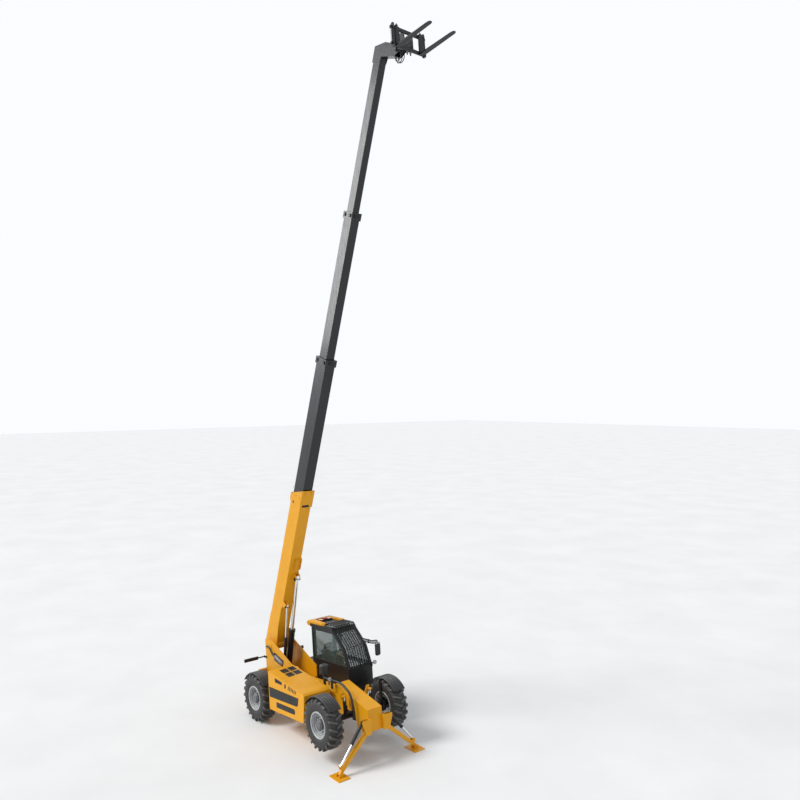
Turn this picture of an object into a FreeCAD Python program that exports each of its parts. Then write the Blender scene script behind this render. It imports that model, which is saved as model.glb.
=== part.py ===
"""Telehandler with a four-section boom, fork carriage and front stabilisers.

Millimetres. Each piece is drawn in a frame of its own and placed in the level machine
frame: X forward, Y left, Z up, origin on the ground midway between the axles.
The whole machine then stands as it parks, on its rear tyres and its two stabiliser pads,
with the nose pitched up, and the row frame's origin is under the middle of its box.
"""
import FreeCAD, Part
import Sketcher
import math
import os

from FreeCAD import Placement, Rotation, Vector

doc = FreeCAD.newDocument("telehandler")
sheet = doc.addObject("Spreadsheet::Sheet", "Sizes")

# Driving sizes: name and value, in millimetres and degrees
SIZES = (
    # stance
    ("nose_pitch", 5.59),
    ("run_gap", 0.3),
    ("plate_gap", 6.0),
    # wheels
    ("wheelbase", 3242.0),
    ("tyre_radius", 625.0),
    ("tyre_width", 400.0),
    ("tyre_centre", 1015.0),
    ("bead_radius", 318.0),
    ("tread_crown", 12.0),
    ("shoulder_drop", 62.0),
    ("sidewall", 90.0),
    ("shoulder_in", 40.0),
    ("rim_lip", 330.0),
    ("rim_wall", 10.0),
    ("rim_step", 24.0),
    ("rim_width", 330.0),
    ("rim_flange", 6.0),
    ("rim_shelf", 62.0),
    ("disc_offset", 40.0),
    ("disc_wall", 16.0),
    ("hub_radius", 128.0),
    ("hub_length", 150.0),
    ("hub_inner", 55.0),
    ("hub_cap", 22.0),
    ("spindle_end", 84.0),
    ("spindle_radius", 52.0),
    ("kingpin_side", 868.0),
    ("kingpin_radius", 28.0),
    ("knuckle_radius", 78.0),
    ("arm_half", 20.0),
    ("arm_length", 170.0),
    ("arm_offset", 20.0),
    ("yoke_height", 118.0),
    ("yoke_wall", 34.0),
    ("yoke_half", 56.0),
    ("guard_clear", 45.0),
    ("guard_wall", 8.0),
    ("guard_width", 380.0),
    ("guard_angle", 104.0),
    ("guard_stay", 14.0),
    ("stay_inboard", 228.0),
    ("saddle_half", 90.0),
    ("saddle_width", 60.0),
    ("saddle_height", 115.0),
    # axles
    ("axle_tube", 74.0),
    ("diff_radius", 185.0),
    ("diff_width", 260.0),
    # chassis
    ("frame_half", 220.0),
    ("frame_plate", 25.0),
    ("frame_low", 450.0),
    ("frame_high", 1050.0),
    ("arch_height", 845.0),
    ("arch_half", 290.0),
    ("arch_taper", 60.0),
    ("nose_front", 2400.0),
    ("nose_low", 360.0),
    ("nose_high", 900.0),
    ("nose_back", 1030.0),
    ("nose_back_high", 1290.0),
    ("tower_half", 340.0),
    ("tower_rear", 2400.0),
    ("tower_low", 560.0),
    ("tower_top", 1970.0),
    ("tower_top_front", 2000.0),
    ("tower_front", 700.0),
    ("tower_front_high", 1340.0),
    ("tower_bend", 1000.0),
    ("tower_bend_high", 1490.0),
    ("ballast_depth", 110.0),
    ("ballast_half", 560.0),
    ("ballast_high", 1120.0),
    ("outrigger_depth", 90.0),
    ("outrigger_rear", -600.0),
    ("outrigger_front", 350.0),
    ("hitch_reach", 120.0),
    ("hitch_bore", 16.0),
    ("hitch_plate", 22.0),
    ("hitch_space", 60.0),
    ("hitch_width", 110.0),
    # boom
    ("pivot_back", 2120.0),
    ("pivot_high", 1780.0),
    ("pivot_pin", 45.0),
    ("boss_rise", 12.0),
    ("boom_angle", 65.98),
    ("boom_centre", 252.0),
    ("outer_width", 352.0),
    ("outer_depth", 512.0),
    ("outer_wall", 10.0),
    ("outer_mouth", 4700.0),
    ("outer_lip", 250.0),
    ("outer_rear", 110.0),
    ("second_width", 305.0),
    ("second_depth", 451.0),
    ("second_wall", 9.0),
    ("third_width", 251.0),
    ("third_depth", 342.0),
    ("third_wall", 8.0),
    ("fourth_width", 195.0),
    ("fourth_depth", 267.0),
    ("fourth_wall", 8.0),
    ("stroke", 3590.0),
    ("second_parked", 5150.0),
    ("third_parked", 5460.0),
    ("fourth_parked", 5610.0),
    ("second_length", 4890.0),
    ("third_length", 5010.0),
    ("fourth_length", 4970.0),
    ("cheek_length", 1250.0),
    ("cheek_slope", 420.0),
    ("cheek_wall", 16.0),
    ("collar_rise", 26.0),
    ("collar_length", 190.0),
    ("pad_length", 160.0),
    # lift and compensation cylinders, in the boom's and the machine's frames
    ("lift_lug_along", 2260.0),
    ("lift_lug_under", 110.0),
    ("lift_side", 85.0),
    ("lift_foot_back", 1900.0),
    ("lift_foot_high", 1000.0),
    ("lift_barrel", 88.0),
    ("lift_rod", 50.0),
    ("lift_cover", 1340.0),
    ("lift_tail", 380.0),
    ("lift_pin", 35.0),
    ("comp_lug_along", 1400.0),
    ("comp_lug_under", 170.0),
    ("comp_side", 125.0),
    ("comp_foot_back", 1750.0),
    ("comp_foot_high", 1060.0),
    ("comp_barrel", 45.0),
    ("comp_rod", 26.0),
    ("comp_cover", 1050.0),
    ("comp_tail", 140.0),
    ("comp_pin", 22.0),
    ("lift_eye", 104.0),
    ("comp_eye", 50.0),
    ("lug_wall", 18.0),
    # head and carriage
    ("tilt_ahead", 180.0),
    ("tilt_under", 500.0),
    ("tilt_pin", 30.0),
    ("head_half", 92.0),
    ("head_plate", 16.0),
    ("head_lap", 130.0),
    ("head_heel", 100.0),
    ("head_depth", 330.0),
    ("head_top", 240.0),
    ("crank_along", 125.0),
    ("crank_high", 156.0),
    ("tilt_base_ahead", 120.0),
    ("tilt_base_high", 300.0),
    ("tilt_barrel", 48.0),
    ("tilt_rod", 26.0),
    ("tilt_eye", 50.0),
    ("tilt_cover", 540.0),
    ("tilt_tail", 215.0),
    ("carriage_back", 262.0),
    ("carriage_half", 485.0),
    ("carriage_low", 180.0),
    ("carriage_high", 300.0),
    ("carriage_rail", 80.0),
    ("carriage_wall", 40.0),
    ("fork_side", 360.0),
    ("fork_width", 120.0),
    ("fork_thick", 42.0),
    ("fork_reach", 1180.0),
    ("fork_drop", 200.0),
    # stabilisers
    ("leg_plane", 2445.0),
    ("leg_hinge_side", 345.0),
    ("leg_hinge_high", 390.0),
    ("leg_foot_side", 1170.0),
    ("leg_width", 84.0),
    ("leg_depth", 120.0),
    ("leg_pin", 24.0),
    ("leg_lug_along", 950.0),
    ("leg_lug_high", 100.0),
    ("ram_side", 425.0),
    ("ram_high", 670.0),
    ("ram_barrel", 40.0),
    ("ram_rod", 25.0),
    ("ram_eye", 54.0),
    ("ram_cover", 560.0),
    ("ram_tail", 110.0),
    ("ram_pin", 18.0),
    ("pad_long", 420.0),
    ("pad_wide", 330.0),
    ("pad_plate", 22.0),
    ("pad_pivot_high", 75.0),
    ("pad_gap", 12.0),
    # cab
    ("cab_inner", 350.0),
    ("cab_outer", 1150.0),
    ("cab_rear", 900.0),
    ("cab_foot_front", 760.0),
    ("cab_floor", 760.0),
    ("cab_sill", 1480.0),
    ("cab_nose", 850.0),
    ("cab_roof", 2480.0),
    ("cab_roof_front", 180.0),
    ("cab_wall", 45.0),
    ("bend_front", 640.0),
    ("bend_high", 1980.0),
    ("roof_depth", 80.0),
    ("roof_lip", 70.0),
    ("step_wide", 390.0),
    ("step_deep", 330.0),
    ("post", 60.0),
    ("door_rear", 640.0),
    ("door_gap", 8.0),
    ("door_hinge_low", 900.0),
    ("door_hinge_high", 1900.0),
    # hinge knuckles of the door and the hood
    ("knuckle_round", 12.0),
    ("knuckle_pin", 6.0),
    ("knuckle_long", 60.0),
    ("knuckle_lug", 30.0),
    ("strap_wall", 6.0),
    ("strap_long", 84.0),
    # engine side
    ("pod_inner", 360.0),
    ("pod_outer", 1150.0),
    ("pod_rear", 840.0),
    ("pod_front", 880.0),
    ("pod_low", 490.0),
    ("pod_high", 1120.0),
    ("pod_wall", 30.0),
    ("pod_lean", 85.0),
    ("hood_rear_high", 1495.0),
    ("hood_front_high", 1215.0),
    ("engine_long", 980.0),
    ("engine_wide", 560.0),
    ("engine_high", 500.0),
    ("engine_back", 560.0),
    ("engine_side", 470.0),
    ("hood_break", 620.0),
    ("hood_break_high", 1262.0),
    ("hood_skin", 14.0),
    ("hood_hinge_in", 14.0),
    ("hood_hinge_rear", 200.0),
    ("hood_hinge_front", 1250.0),
    ("bracket_wall", 16.0),
    # cab inside and outside fittings
    ("step_back", 250.0),
    ("seat_back", 700.0),
    ("seat_long", 500.0),
    ("seat_wide", 480.0),
    ("seat_high", 1180.0),
    ("wheel_x", 130.0),
    ("wheel_high", 1420.0),
    ("wheel_ring", 190.0),
    ("column_lean", 20.0),
    ("column_radius", 38.0),
    ("column_length", 420.0),
    ("console_half", 75.0),
    ("cleaner_x", 670.0),
    ("cleaner_side", 312.0),
    ("cleaner_high", 1610.0),
    ("cleaner_radius", 122.0),
    ("cleaner_tall", 190.0),
    ("lamp_back", 2510.0),
    ("lamp_high", 1450.0),
    ("lamp_inner", 560.0),
    ("lamp_outer", 1000.0),
    ("mirror_x", 1010.0),
    ("mirror_y", 1245.0),
    ("mirror_half", 75.0),
    ("mirror_bar", 24.0),
    ("mirror_low", 1740.0),
    ("mirror_high", 2050.0),
)

for row, (name, value) in enumerate(SIZES, start=1):
    sheet.set(f"A{row}", name)
    sheet.set(f"B{row}", str(value))
    sheet.setAlias(f"B{row}", name)
doc.recompute()
NODES = []


class Measure:
    """A size that keeps the sheet expression it came from."""

    def __init__(self, text, value):
        self.text, self.value = text, float(value)

    def _join(self, sign, other, value, turned=False):
        here, there = self.text, text_of(other)
        first, second = (there, here) if turned else (here, there)
        return Measure(f"({first} {sign} {second})", value)

    def __add__(self, other):
        return self._join("+", other, self.value + value_of(other))

    def __radd__(self, other):
        return self._join("+", other, value_of(other) + self.value, True)

    def __sub__(self, other):
        return self._join("-", other, self.value - value_of(other))

    def __rsub__(self, other):
        return self._join("-", other, value_of(other) - self.value, True)

    def __mul__(self, other):
        return self._join("*", other, self.value * value_of(other))

    def __rmul__(self, other):
        return self._join("*", other, value_of(other) * self.value, True)

    def __truediv__(self, other):
        return self._join("/", other, self.value / value_of(other))

    def __neg__(self):
        return Measure(f"(-1 * {self.text})", -self.value)

    def __float__(self):
        return self.value


def value_of(size):
    return size.value if isinstance(size, Measure) else float(size)


def text_of(size):
    return size.text if isinstance(size, Measure) else repr(float(size))


class Names:
    """The sheet's cells by name, such as S.wheelbase."""


S = Names()
for name, _ in SIZES:
    setattr(S, name, Measure(f"Sizes.{name}", sheet.get(name)))


def sine(angle):
    return Measure(f"sin({angle.text})", math.sin(math.radians(angle.value)))


def cosine(angle):
    return Measure(f"cos({angle.text})", math.cos(math.radians(angle.value)))


def length_of(a, b):
    return Measure(f"hypot({a.text}; {b.text})", math.hypot(a.value, b.value))


def bind(thing, prop, size):
    """Set a property to a size, by expression where the size comes from the sheet."""
    if isinstance(size, Measure):
        thing.setExpression(prop, size.text)
    else:
        setattr(thing, prop, float(size))


def new_body(label):
    body = doc.addObject("PartDesign::Body", label)
    body.Label = label
    body.AllowCompound = True
    NODES.append(body)
    return body


def new_sketch(body, role, height):
    """A sketch on a plane of the body's own origin, moved along that plane's axis."""
    sketch = body.newObject("Sketcher::SketchObject", "Profile")
    plane = [item for item in body.Origin.OriginFeatures if item.Role == role][0]
    sketch.AttachmentSupport = (plane, [""])
    sketch.MapMode = "FlatFace"
    along = -1 * height if role == "XZ_Plane" else 1 * height
    sketch.setExpression("AttachmentOffset.Base.z", text_of(along))
    return sketch


def draw_polygon(sketch, points):
    """A closed outline whose every corner is dimensioned from the sketch's origin."""
    corners = [Vector(value_of(a), value_of(b), 0) for a, b in points]
    for corner, after in zip(corners, corners[1:] + corners[:1]):
        sketch.addGeometry(Part.LineSegment(corner, after), False)
    count = len(points)
    for index in range(count):
        sketch.addConstraint(Sketcher.Constraint("Coincident", index, 2, (index + 1) % count, 1))
    for index, (a, b) in enumerate(points):
        for kind, size in (("DistanceX", a), ("DistanceY", b)):
            number = sketch.addConstraint(
                Sketcher.Constraint(kind, -1, 1, index, 1, value_of(size)))
            if isinstance(size, Measure):
                sketch.setExpression(f"Constraints[{number}]", size.text)


def draw_circle(sketch, centre, radius):
    a, b = centre
    sketch.addGeometry(
        Part.Circle(Vector(value_of(a), value_of(b), 0), Vector(0, 0, 1), value_of(radius)), False)
    for kind, size in (("DistanceX", a), ("DistanceY", b)):
        number = sketch.addConstraint(Sketcher.Constraint(kind, -1, 1, 0, 3, value_of(size)))
        if isinstance(size, Measure):
            sketch.setExpression(f"Constraints[{number}]", size.text)
    number = sketch.addConstraint(Sketcher.Constraint("Radius", 0, value_of(radius)))
    if isinstance(radius, Measure):
        sketch.setExpression(f"Constraints[{number}]", radius.text)


def extrude(body, role, low, high, kind, draw):
    """Pad or pocket a drawing between two heights on the plane's axis."""
    sketch = new_sketch(body, role, (low + high) / 2)
    draw(sketch)
    feature = body.newObject(f"PartDesign::{kind}", kind)
    feature.Profile = sketch
    feature.SideType = "Symmetric"
    bind(feature, "Length", high - low)
    return feature


def add(body, role, points, low, high):
    return extrude(body, role, low, high, "Pad", lambda sketch: draw_polygon(sketch, points))


def cut(body, role, points, low, high):
    return extrude(body, role, low, high, "Pocket", lambda sketch: draw_polygon(sketch, points))


def add_round(body, role, centre, radius, low, high):
    return extrude(body, role, low, high, "Pad", lambda sketch: draw_circle(sketch, centre, radius))


def cut_round(body, role, centre, radius, low, high):
    return extrude(body, role, low, high, "Pocket",
                   lambda sketch: draw_circle(sketch, centre, radius))


def rectangle(a0, a1, b0, b1):
    return ((a0, b0), (a1, b0), (a1, b1), (a0, b1))


def block(body, x, y, z):
    """A plate or bar, given by its low and high sides along X, Y and Z."""
    return add(body, "XY_Plane", rectangle(*x, *y), *z)


def turn(body, role, points, axis, angle=360.0):
    """Turn an outline about an axis of its sketch."""
    sketch = new_sketch(body, role, 0.0)
    draw_polygon(sketch, points)
    feature = body.newObject("PartDesign::Revolution", "Revolution")
    feature.Profile = sketch
    feature.ReferenceAxis = (sketch, [axis])
    bind(feature, "Angle", angle)
    return feature


def cylinder(body, kind, start, tilt, radius, length):
    """A round bar or hole from a point, along X when level and tilted nose up by an angle."""
    bar = body.newObject(f"PartDesign::{kind}Cylinder", "Bar")
    bind(bar, "Radius", radius)
    bind(bar, "Height", length)
    bar.Placement = Placement(Vector(*(value_of(size) for size in start)),
                              Rotation(Vector(0, 1, 0), 90.0 - tilt))
    return bar


def point_at(origin, angle, along, up):
    """A point given along and up in a frame turned by an angle, in the X-Z plane."""
    cosine, sine = math.cos(math.radians(angle)), math.sin(math.radians(angle))
    x, z = value_of(origin[0]), value_of(origin[1])
    along, up = value_of(along), value_of(up)
    return x + along * cosine - up * sine, z + along * sine + up * cosine


AXLE = S.wheelbase / 2
SIDES = (("left", 1), ("right", -1))
ENDS = (("front", 1), ("rear", -1))


def span(side, near, far):
    """The range from near to far on the left side, mirrored for the right."""
    return (near, far) if side > 0 else (-far, -near)


def make_saddles(body, end):
    """Pads on a frame's arch that an axle beam is bolted up to."""
    for _, side in SIDES:
        block(body, (end * AXLE - S.saddle_half, end * AXLE + S.saddle_half),
              span(side, S.frame_half - S.saddle_width, S.frame_half),
              (S.tyre_radius + S.saddle_height, S.arch_height))


def make_chassis():
    """Spine between the axles with the nose box that carries the stabilisers."""
    body = new_body("chassis")
    half, plate = S.frame_half, S.frame_plate
    arch, taper = S.arch_half, S.arch_taper
    spine = (
        (-(AXLE - arch), S.frame_low), (AXLE - arch, S.frame_low),
        (AXLE - arch + taper, S.arch_height), (AXLE + arch - taper, S.arch_height),
        (AXLE + arch, S.nose_low), (S.nose_front, S.nose_low), (S.nose_front, S.nose_high),
        (S.nose_back, S.nose_back_high), (S.nose_back - 2 * taper, S.frame_high),
        (-(AXLE - arch), S.frame_high))
    for _, side in SIDES:
        add(body, "XZ_Plane", spine, *span(side, half - plate, half))
    block(body, (-(AXLE - arch), AXLE - arch), (-half, half), (S.frame_low, S.frame_low + plate))
    block(body, (-(AXLE - arch), S.nose_back - 2 * taper), (-half, half),
          (S.frame_high - plate, S.frame_high))
    add(body, "XZ_Plane", (
        (S.nose_back, S.nose_back_high), (S.nose_front, S.nose_high),
        (S.nose_front, S.nose_high - plate), (S.nose_back, S.nose_back_high - plate),
        (S.nose_back - 2 * taper, S.frame_high - plate), (S.nose_back - 2 * taper, S.frame_high)),
        -half, half)
    block(body, (S.nose_front - plate, S.nose_front), (-half, half), (S.nose_low, S.nose_high))
    block(body, (AXLE + arch, S.nose_front), (-half, half), (S.nose_low, S.nose_low + plate))
    make_saddles(body, 1)


def make_tower():
    """Boom tower around the spine's rear end, with the pins of the boom and its cylinders."""
    body = new_body("boom_tower")
    half, plate, wide = S.frame_half, S.frame_plate, S.tower_half
    arch, taper = S.arch_half, S.arch_taper
    tower = (
        (-S.tower_rear, S.tower_low), (-(AXLE + arch), S.tower_low),
        (-(AXLE + arch - taper), S.arch_height), (-(AXLE - arch + taper), S.arch_height),
        (-(AXLE - arch), S.frame_low), (-S.tower_front, S.frame_low),
        (-S.tower_front, S.tower_front_high), (-S.tower_bend, S.tower_bend_high),
        (-S.tower_top_front, S.tower_top), (-S.tower_rear, S.tower_top))
    for _, side in SIDES:
        add(body, "XZ_Plane", tower, *span(side, wide - plate, wide))
        block(body, (-S.tower_front - plate, -S.tower_front), span(side, half, wide),
              (S.frame_low, S.frame_high))
    block(body, (-S.tower_rear, -(AXLE - arch)), (-wide, wide),
          (S.arch_height, S.arch_height + plate))
    block(body, (-S.tower_rear, -S.tower_rear + plate), (-wide, wide), (S.tower_low, S.ballast_high))
    make_saddles(body, -1)
    # boom pivot pin and its bosses
    pivot = (-S.pivot_back, S.pivot_high)
    for _, side in SIDES:
        add_round(body, "XZ_Plane", pivot, 2 * S.pivot_pin,
                  *span(side, wide - plate - S.boss_rise, wide + S.boss_rise))
    add_round(body, "XZ_Plane", pivot, S.pivot_pin, -wide, wide)
    # lower pins of the lift and compensation cylinders
    add_round(body, "XZ_Plane", (-S.lift_foot_back, S.lift_foot_high), S.lift_pin, -wide, wide)
    comp_foot = (-S.comp_foot_back, S.comp_foot_high)
    inner = -(S.comp_side - S.comp_eye / 2 - S.plate_gap)
    add_round(body, "XZ_Plane", comp_foot, S.comp_pin, -wide, inner)
    add(body, "XZ_Plane", rectangle(
        comp_foot[0] - 2 * S.comp_pin, comp_foot[0] + 2 * S.comp_pin,
        S.arch_height, comp_foot[1] + 2 * S.comp_pin), inner, inner + S.lug_wall)


def make_counterweight():
    """Ballast slab on the tower's rear, with the towing clevis and its upright pin hole."""
    body = new_body("counterweight")
    plate, rear = S.frame_plate, -S.tower_rear - S.ballast_depth
    block(body, (rear, -S.tower_rear), (-S.ballast_half, S.ballast_half),
          (S.tower_low + 2 * plate, S.ballast_high))
    hitch_low = S.tower_low + 3 * plate
    for low in (hitch_low, hitch_low + S.hitch_plate + S.hitch_space):
        block(body, (rear - S.hitch_reach, rear), (-S.hitch_width / 2, S.hitch_width / 2),
              (low, low + S.hitch_plate))
    cut_round(body, "XY_Plane", (rear - S.hitch_reach + 2.5 * S.hitch_bore, 0.0), S.hitch_bore,
              hitch_low, hitch_low + 2 * S.hitch_plate + S.hitch_space)


def make_brackets():
    """Ears on each side of the nose that hold a stabiliser leg and the foot of its cylinder."""
    body = new_body("stabiliser_brackets")
    half, plate = S.frame_half, S.frame_plate
    near = S.leg_plane - S.leg_width / 2 - S.plate_gap / 2
    far = S.leg_plane + S.leg_width / 2 + S.plate_gap / 2
    face = near - S.lug_wall
    for _, side in SIDES:
        block(body, (S.nose_front, far + S.lug_wall), span(side, half - plate, half),
              (S.nose_low, S.ram_high + 2 * S.ram_pin))
        ear = ((side * (half + plate), S.leg_hinge_high - 2 * S.leg_pin),
               (side * (S.leg_hinge_side + 2 * S.leg_pin), S.leg_hinge_high - 2 * S.leg_pin),
               (side * (S.leg_hinge_side + 2 * S.leg_pin), S.leg_hinge_high + 2 * S.leg_pin),
               (side * (S.ram_side + 2 * S.ram_pin), S.ram_high - 2 * S.ram_pin),
               (side * (S.ram_side + 2 * S.ram_pin), S.ram_high + 2 * S.ram_pin),
               (side * (half + plate), S.ram_high + 2 * S.ram_pin))
        # side plate against the nose, which carries both ears
        block(body, (face - S.lug_wall, far + S.lug_wall), span(side, half, half + plate),
              (S.leg_hinge_high - 2 * S.leg_pin, S.ram_high + 2 * S.ram_pin))
        for low, high in ((face, near), (far, far + S.lug_wall)):
            add(body, "YZ_Plane", ear, low, high)
        for pin, y, z in ((S.leg_pin, S.leg_hinge_side, S.leg_hinge_high),
                          (S.ram_pin, S.ram_side, S.ram_high)):
            add_round(body, "YZ_Plane", (side * y, z), pin, face, far + S.lug_wall)


def make_outriggers():
    """Four arms from the spine, two under the cab and two under the engine side."""
    body = new_body("outriggers")
    for at in (S.outrigger_rear, S.outrigger_front):
        block(body, (at, at + S.outrigger_depth), (S.frame_half, S.cab_outer - S.outrigger_depth),
              (S.cab_floor - S.outrigger_depth, S.cab_floor))
        block(body, (at, at + S.outrigger_depth),
              (-(S.pod_outer - S.outrigger_depth), -S.frame_half),
              (S.pod_low - S.outrigger_depth, S.pod_low))


def make_axle(label, end):
    """Axle beam with its final drive and the forked ends that hold the kingpins."""
    body = new_body(label)
    yoke = S.kingpin_side - S.knuckle_radius - S.plate_gap
    add_round(body, "XZ_Plane", (0.0, 0.0), S.axle_tube, -yoke, yoke)
    half = S.diff_width / 2
    turn(body, "YZ_Plane", ((-half, 0.0), (-half, 0.6 * S.diff_radius), (-0.5 * half, S.diff_radius),
                            (0.5 * half, S.diff_radius), (half, 0.6 * S.diff_radius), (half, 0.0)),
         "H_Axis")
    top = S.yoke_height + S.yoke_wall
    for _, side in SIDES:
        block(body, (-S.saddle_half, S.saddle_half),
              span(side, S.frame_half - S.saddle_width, S.frame_half), (0.0, S.saddle_height))
        block(body, (-S.yoke_half, S.yoke_half), span(side, yoke - S.yoke_wall, yoke), (-top, top))
        for low, high in ((-top, -S.yoke_height), (S.yoke_height, top)):
            block(body, (-S.yoke_half, S.yoke_half), span(side, yoke - S.yoke_wall, S.kingpin_side),
                  (low, high))
            add_round(body, "XY_Plane", (0.0, side * S.kingpin_side), S.yoke_half, low, high)
            cut_round(body, "XY_Plane", (0.0, side * S.kingpin_side), S.kingpin_radius + S.run_gap,
                      low, high)
    body.Placement = Placement(Vector(end * AXLE.value, 0, S.tyre_radius.value), Rotation())
    return body


def corner_place(end, side, y):
    """Placement of a piece drawn with Y outward, at one corner of the machine."""
    spin = Rotation(Vector(0, 0, 1), 0 if side > 0 else 180)
    return Placement(Vector(end * AXLE.value, side * value_of(y), S.tyre_radius.value), spin)


def make_knuckle(label, end, side):
    """Steering knuckle on its kingpins, with the spindle and the tie-rod arm."""
    body = new_body(label)
    top = S.yoke_height + S.yoke_wall
    add_round(body, "XY_Plane", (0.0, 0.0), S.knuckle_radius,
              -(S.yoke_height - S.plate_gap / 2), S.yoke_height - S.plate_gap / 2)
    add_round(body, "XY_Plane", (0.0, 0.0), S.kingpin_radius, -top, top + S.plate_gap)
    reach = S.tyre_centre - S.kingpin_side
    add_round(body, "XZ_Plane", (0.0, 0.0), S.spindle_radius, 0.0, reach + S.spindle_end)
    # tie-rod arm, behind the front axle and ahead of the rear one
    back = -end * side
    arm = ((0.0, -S.arm_half), (back * S.arm_length, -S.arm_offset - S.arm_half),
           (back * S.arm_length, -S.arm_offset + S.arm_half), (0.0, S.arm_half))
    add(body, "XY_Plane", arm, -S.arm_half, S.arm_half)
    body.Placement = corner_place(end, side, S.kingpin_side)
    return body


def make_guard(label, end, side):
    """Mudguard over the top of one tyre, on a stay from the upper kingpin."""
    body = new_body(label)
    inner = S.tyre_radius + S.guard_clear
    half, bar = S.guard_width / 2, S.guard_stay
    shell = turn(body, "YZ_Plane", rectangle(-half, half, inner, inner + S.guard_wall), "H_Axis",
                 S.guard_angle)
    shell.Midplane = True
    foot = S.yoke_height + S.yoke_wall + S.plate_gap
    kingpin = S.kingpin_side - S.tyre_centre
    block(body, (-3 * bar, 3 * bar), (-S.stay_inboard, kingpin + S.kingpin_radius),
          (foot, foot + bar))
    block(body, (-3 * bar, 3 * bar), (-S.stay_inboard, bar - S.stay_inboard),
          (foot, inner + S.guard_wall / 2))
    block(body, (-3 * bar, 3 * bar), (-S.stay_inboard, bar - half),
          (inner + S.guard_wall / 2 - bar, inner + S.guard_wall / 2))
    body.Placement = corner_place(end, side, S.tyre_centre)
    return body


def make_tyre(label, end, side):
    """Wide lugged tyre, turned about its axle."""
    body = new_body(label)
    width, radius = S.tyre_width / 2, S.tyre_radius
    half_rim = S.rim_width / 2
    outline = ((-half_rim, S.bead_radius), (-width, S.bead_radius + S.sidewall),
               (-width, radius - S.shoulder_drop), (-width + S.shoulder_in, radius - S.tread_crown),
               (0.0, radius), (width - S.shoulder_in, radius - S.tread_crown),
               (width, radius - S.shoulder_drop), (width, S.bead_radius + S.sidewall),
               (half_rim, S.bead_radius))
    turn(body, "YZ_Plane", outline, "H_Axis")
    body.Placement = corner_place(end, side, S.tyre_centre)
    return body


def make_rim(label, end, side):
    """Stepped, deep-dished rim with the planetary hub in its middle."""
    body = new_body(label)
    seat = S.bead_radius - S.run_gap
    half = S.rim_width / 2 + S.rim_flange
    lip = half + S.rim_wall
    inside = seat - S.rim_wall
    disc = S.disc_offset + S.disc_wall
    bore = S.spindle_radius + S.run_gap
    outline = (
        (-S.hub_inner, bore), (-S.hub_inner, S.hub_radius), (S.disc_offset, S.hub_radius),
        (S.disc_offset, inside), (-lip, inside), (-lip, S.rim_lip), (-half, S.rim_lip),
        (-half, seat), (half, seat), (half, S.rim_lip), (lip, S.rim_lip),
        (lip, seat - S.rim_step), (lip - S.rim_shelf, seat - S.rim_step),
        (lip - S.rim_shelf, seat - 2 * S.rim_step), (disc, seat - 2 * S.rim_step),
        (disc, S.hub_radius), (S.hub_length, S.hub_radius), (S.hub_length + S.hub_cap, bore),
        (S.hub_length + S.hub_cap, 0.0), (S.spindle_end + S.plate_gap, 0.0),
        (S.spindle_end + S.plate_gap, bore))
    turn(body, "YZ_Plane", outline, "H_Axis")
    body.Placement = corner_place(end, side, S.tyre_centre)
    return body


BOOM = (-S.pivot_back, S.pivot_high)


def boom_place():
    """Boom frame: origin on the pivot, X along the boom, Z out of its upper face."""
    return Placement(Vector(-S.pivot_back.value, 0, S.pivot_high.value),
                     Rotation(Vector(0, 1, 0), -S.boom_angle.value))


# Ends of the three sliding sections, each one stroke further out than the one before it
SECOND_MOUTH = S.second_parked + S.stroke
THIRD_MOUTH = S.third_parked + 2 * S.stroke
FOURTH_END = S.fourth_parked + 3 * S.stroke
TILT_ALONG = FOURTH_END + S.tilt_ahead
TILT_BASE_ALONG = FOURTH_END + S.tilt_base_ahead

# Boom sections: width, depth, wall, rear end and front end
SECTIONS = (
    (S.outer_width, S.outer_depth, S.outer_wall, -S.outer_rear, S.outer_mouth),
    (S.second_width, S.second_depth, S.second_wall,
     SECOND_MOUTH - S.second_length, SECOND_MOUTH),
    (S.third_width, S.third_depth, S.third_wall, THIRD_MOUTH - S.third_length, THIRD_MOUTH),
    (S.fourth_width, S.fourth_depth, S.fourth_wall,
     FOURTH_END - S.fourth_length, FOURTH_END),
)


def wall_of(number):
    return SECTIONS[number][2]


def box_ring(width, depth):
    middle = S.boom_centre
    return rectangle(-width / 2, width / 2, middle - depth / 2, middle + depth / 2)


def add_wear_pads(body, hollow, solid, low, high, on_inside):
    """Wear pads that fill the space between two sections, all but a running gap."""
    middle = S.boom_centre
    (in_width, in_depth), (out_width, out_depth) = hollow, solid
    side_low, side_high = out_width / 2, in_width / 2
    face_low, face_high = out_depth / 2, in_depth / 2
    if on_inside:
        side_low, face_low = side_low + S.run_gap, face_low + S.run_gap
    else:
        side_high, face_high = side_high - S.run_gap, face_high - S.run_gap
    for _, side in SIDES:
        block(body, (low, high), span(side, side_low, side_high),
              (middle - out_depth / 4, middle + out_depth / 4))
        bottom, top = span(side, face_low, face_high)
        block(body, (low, high), (-out_width / 3, out_width / 3), (middle + bottom, middle + top))


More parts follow.
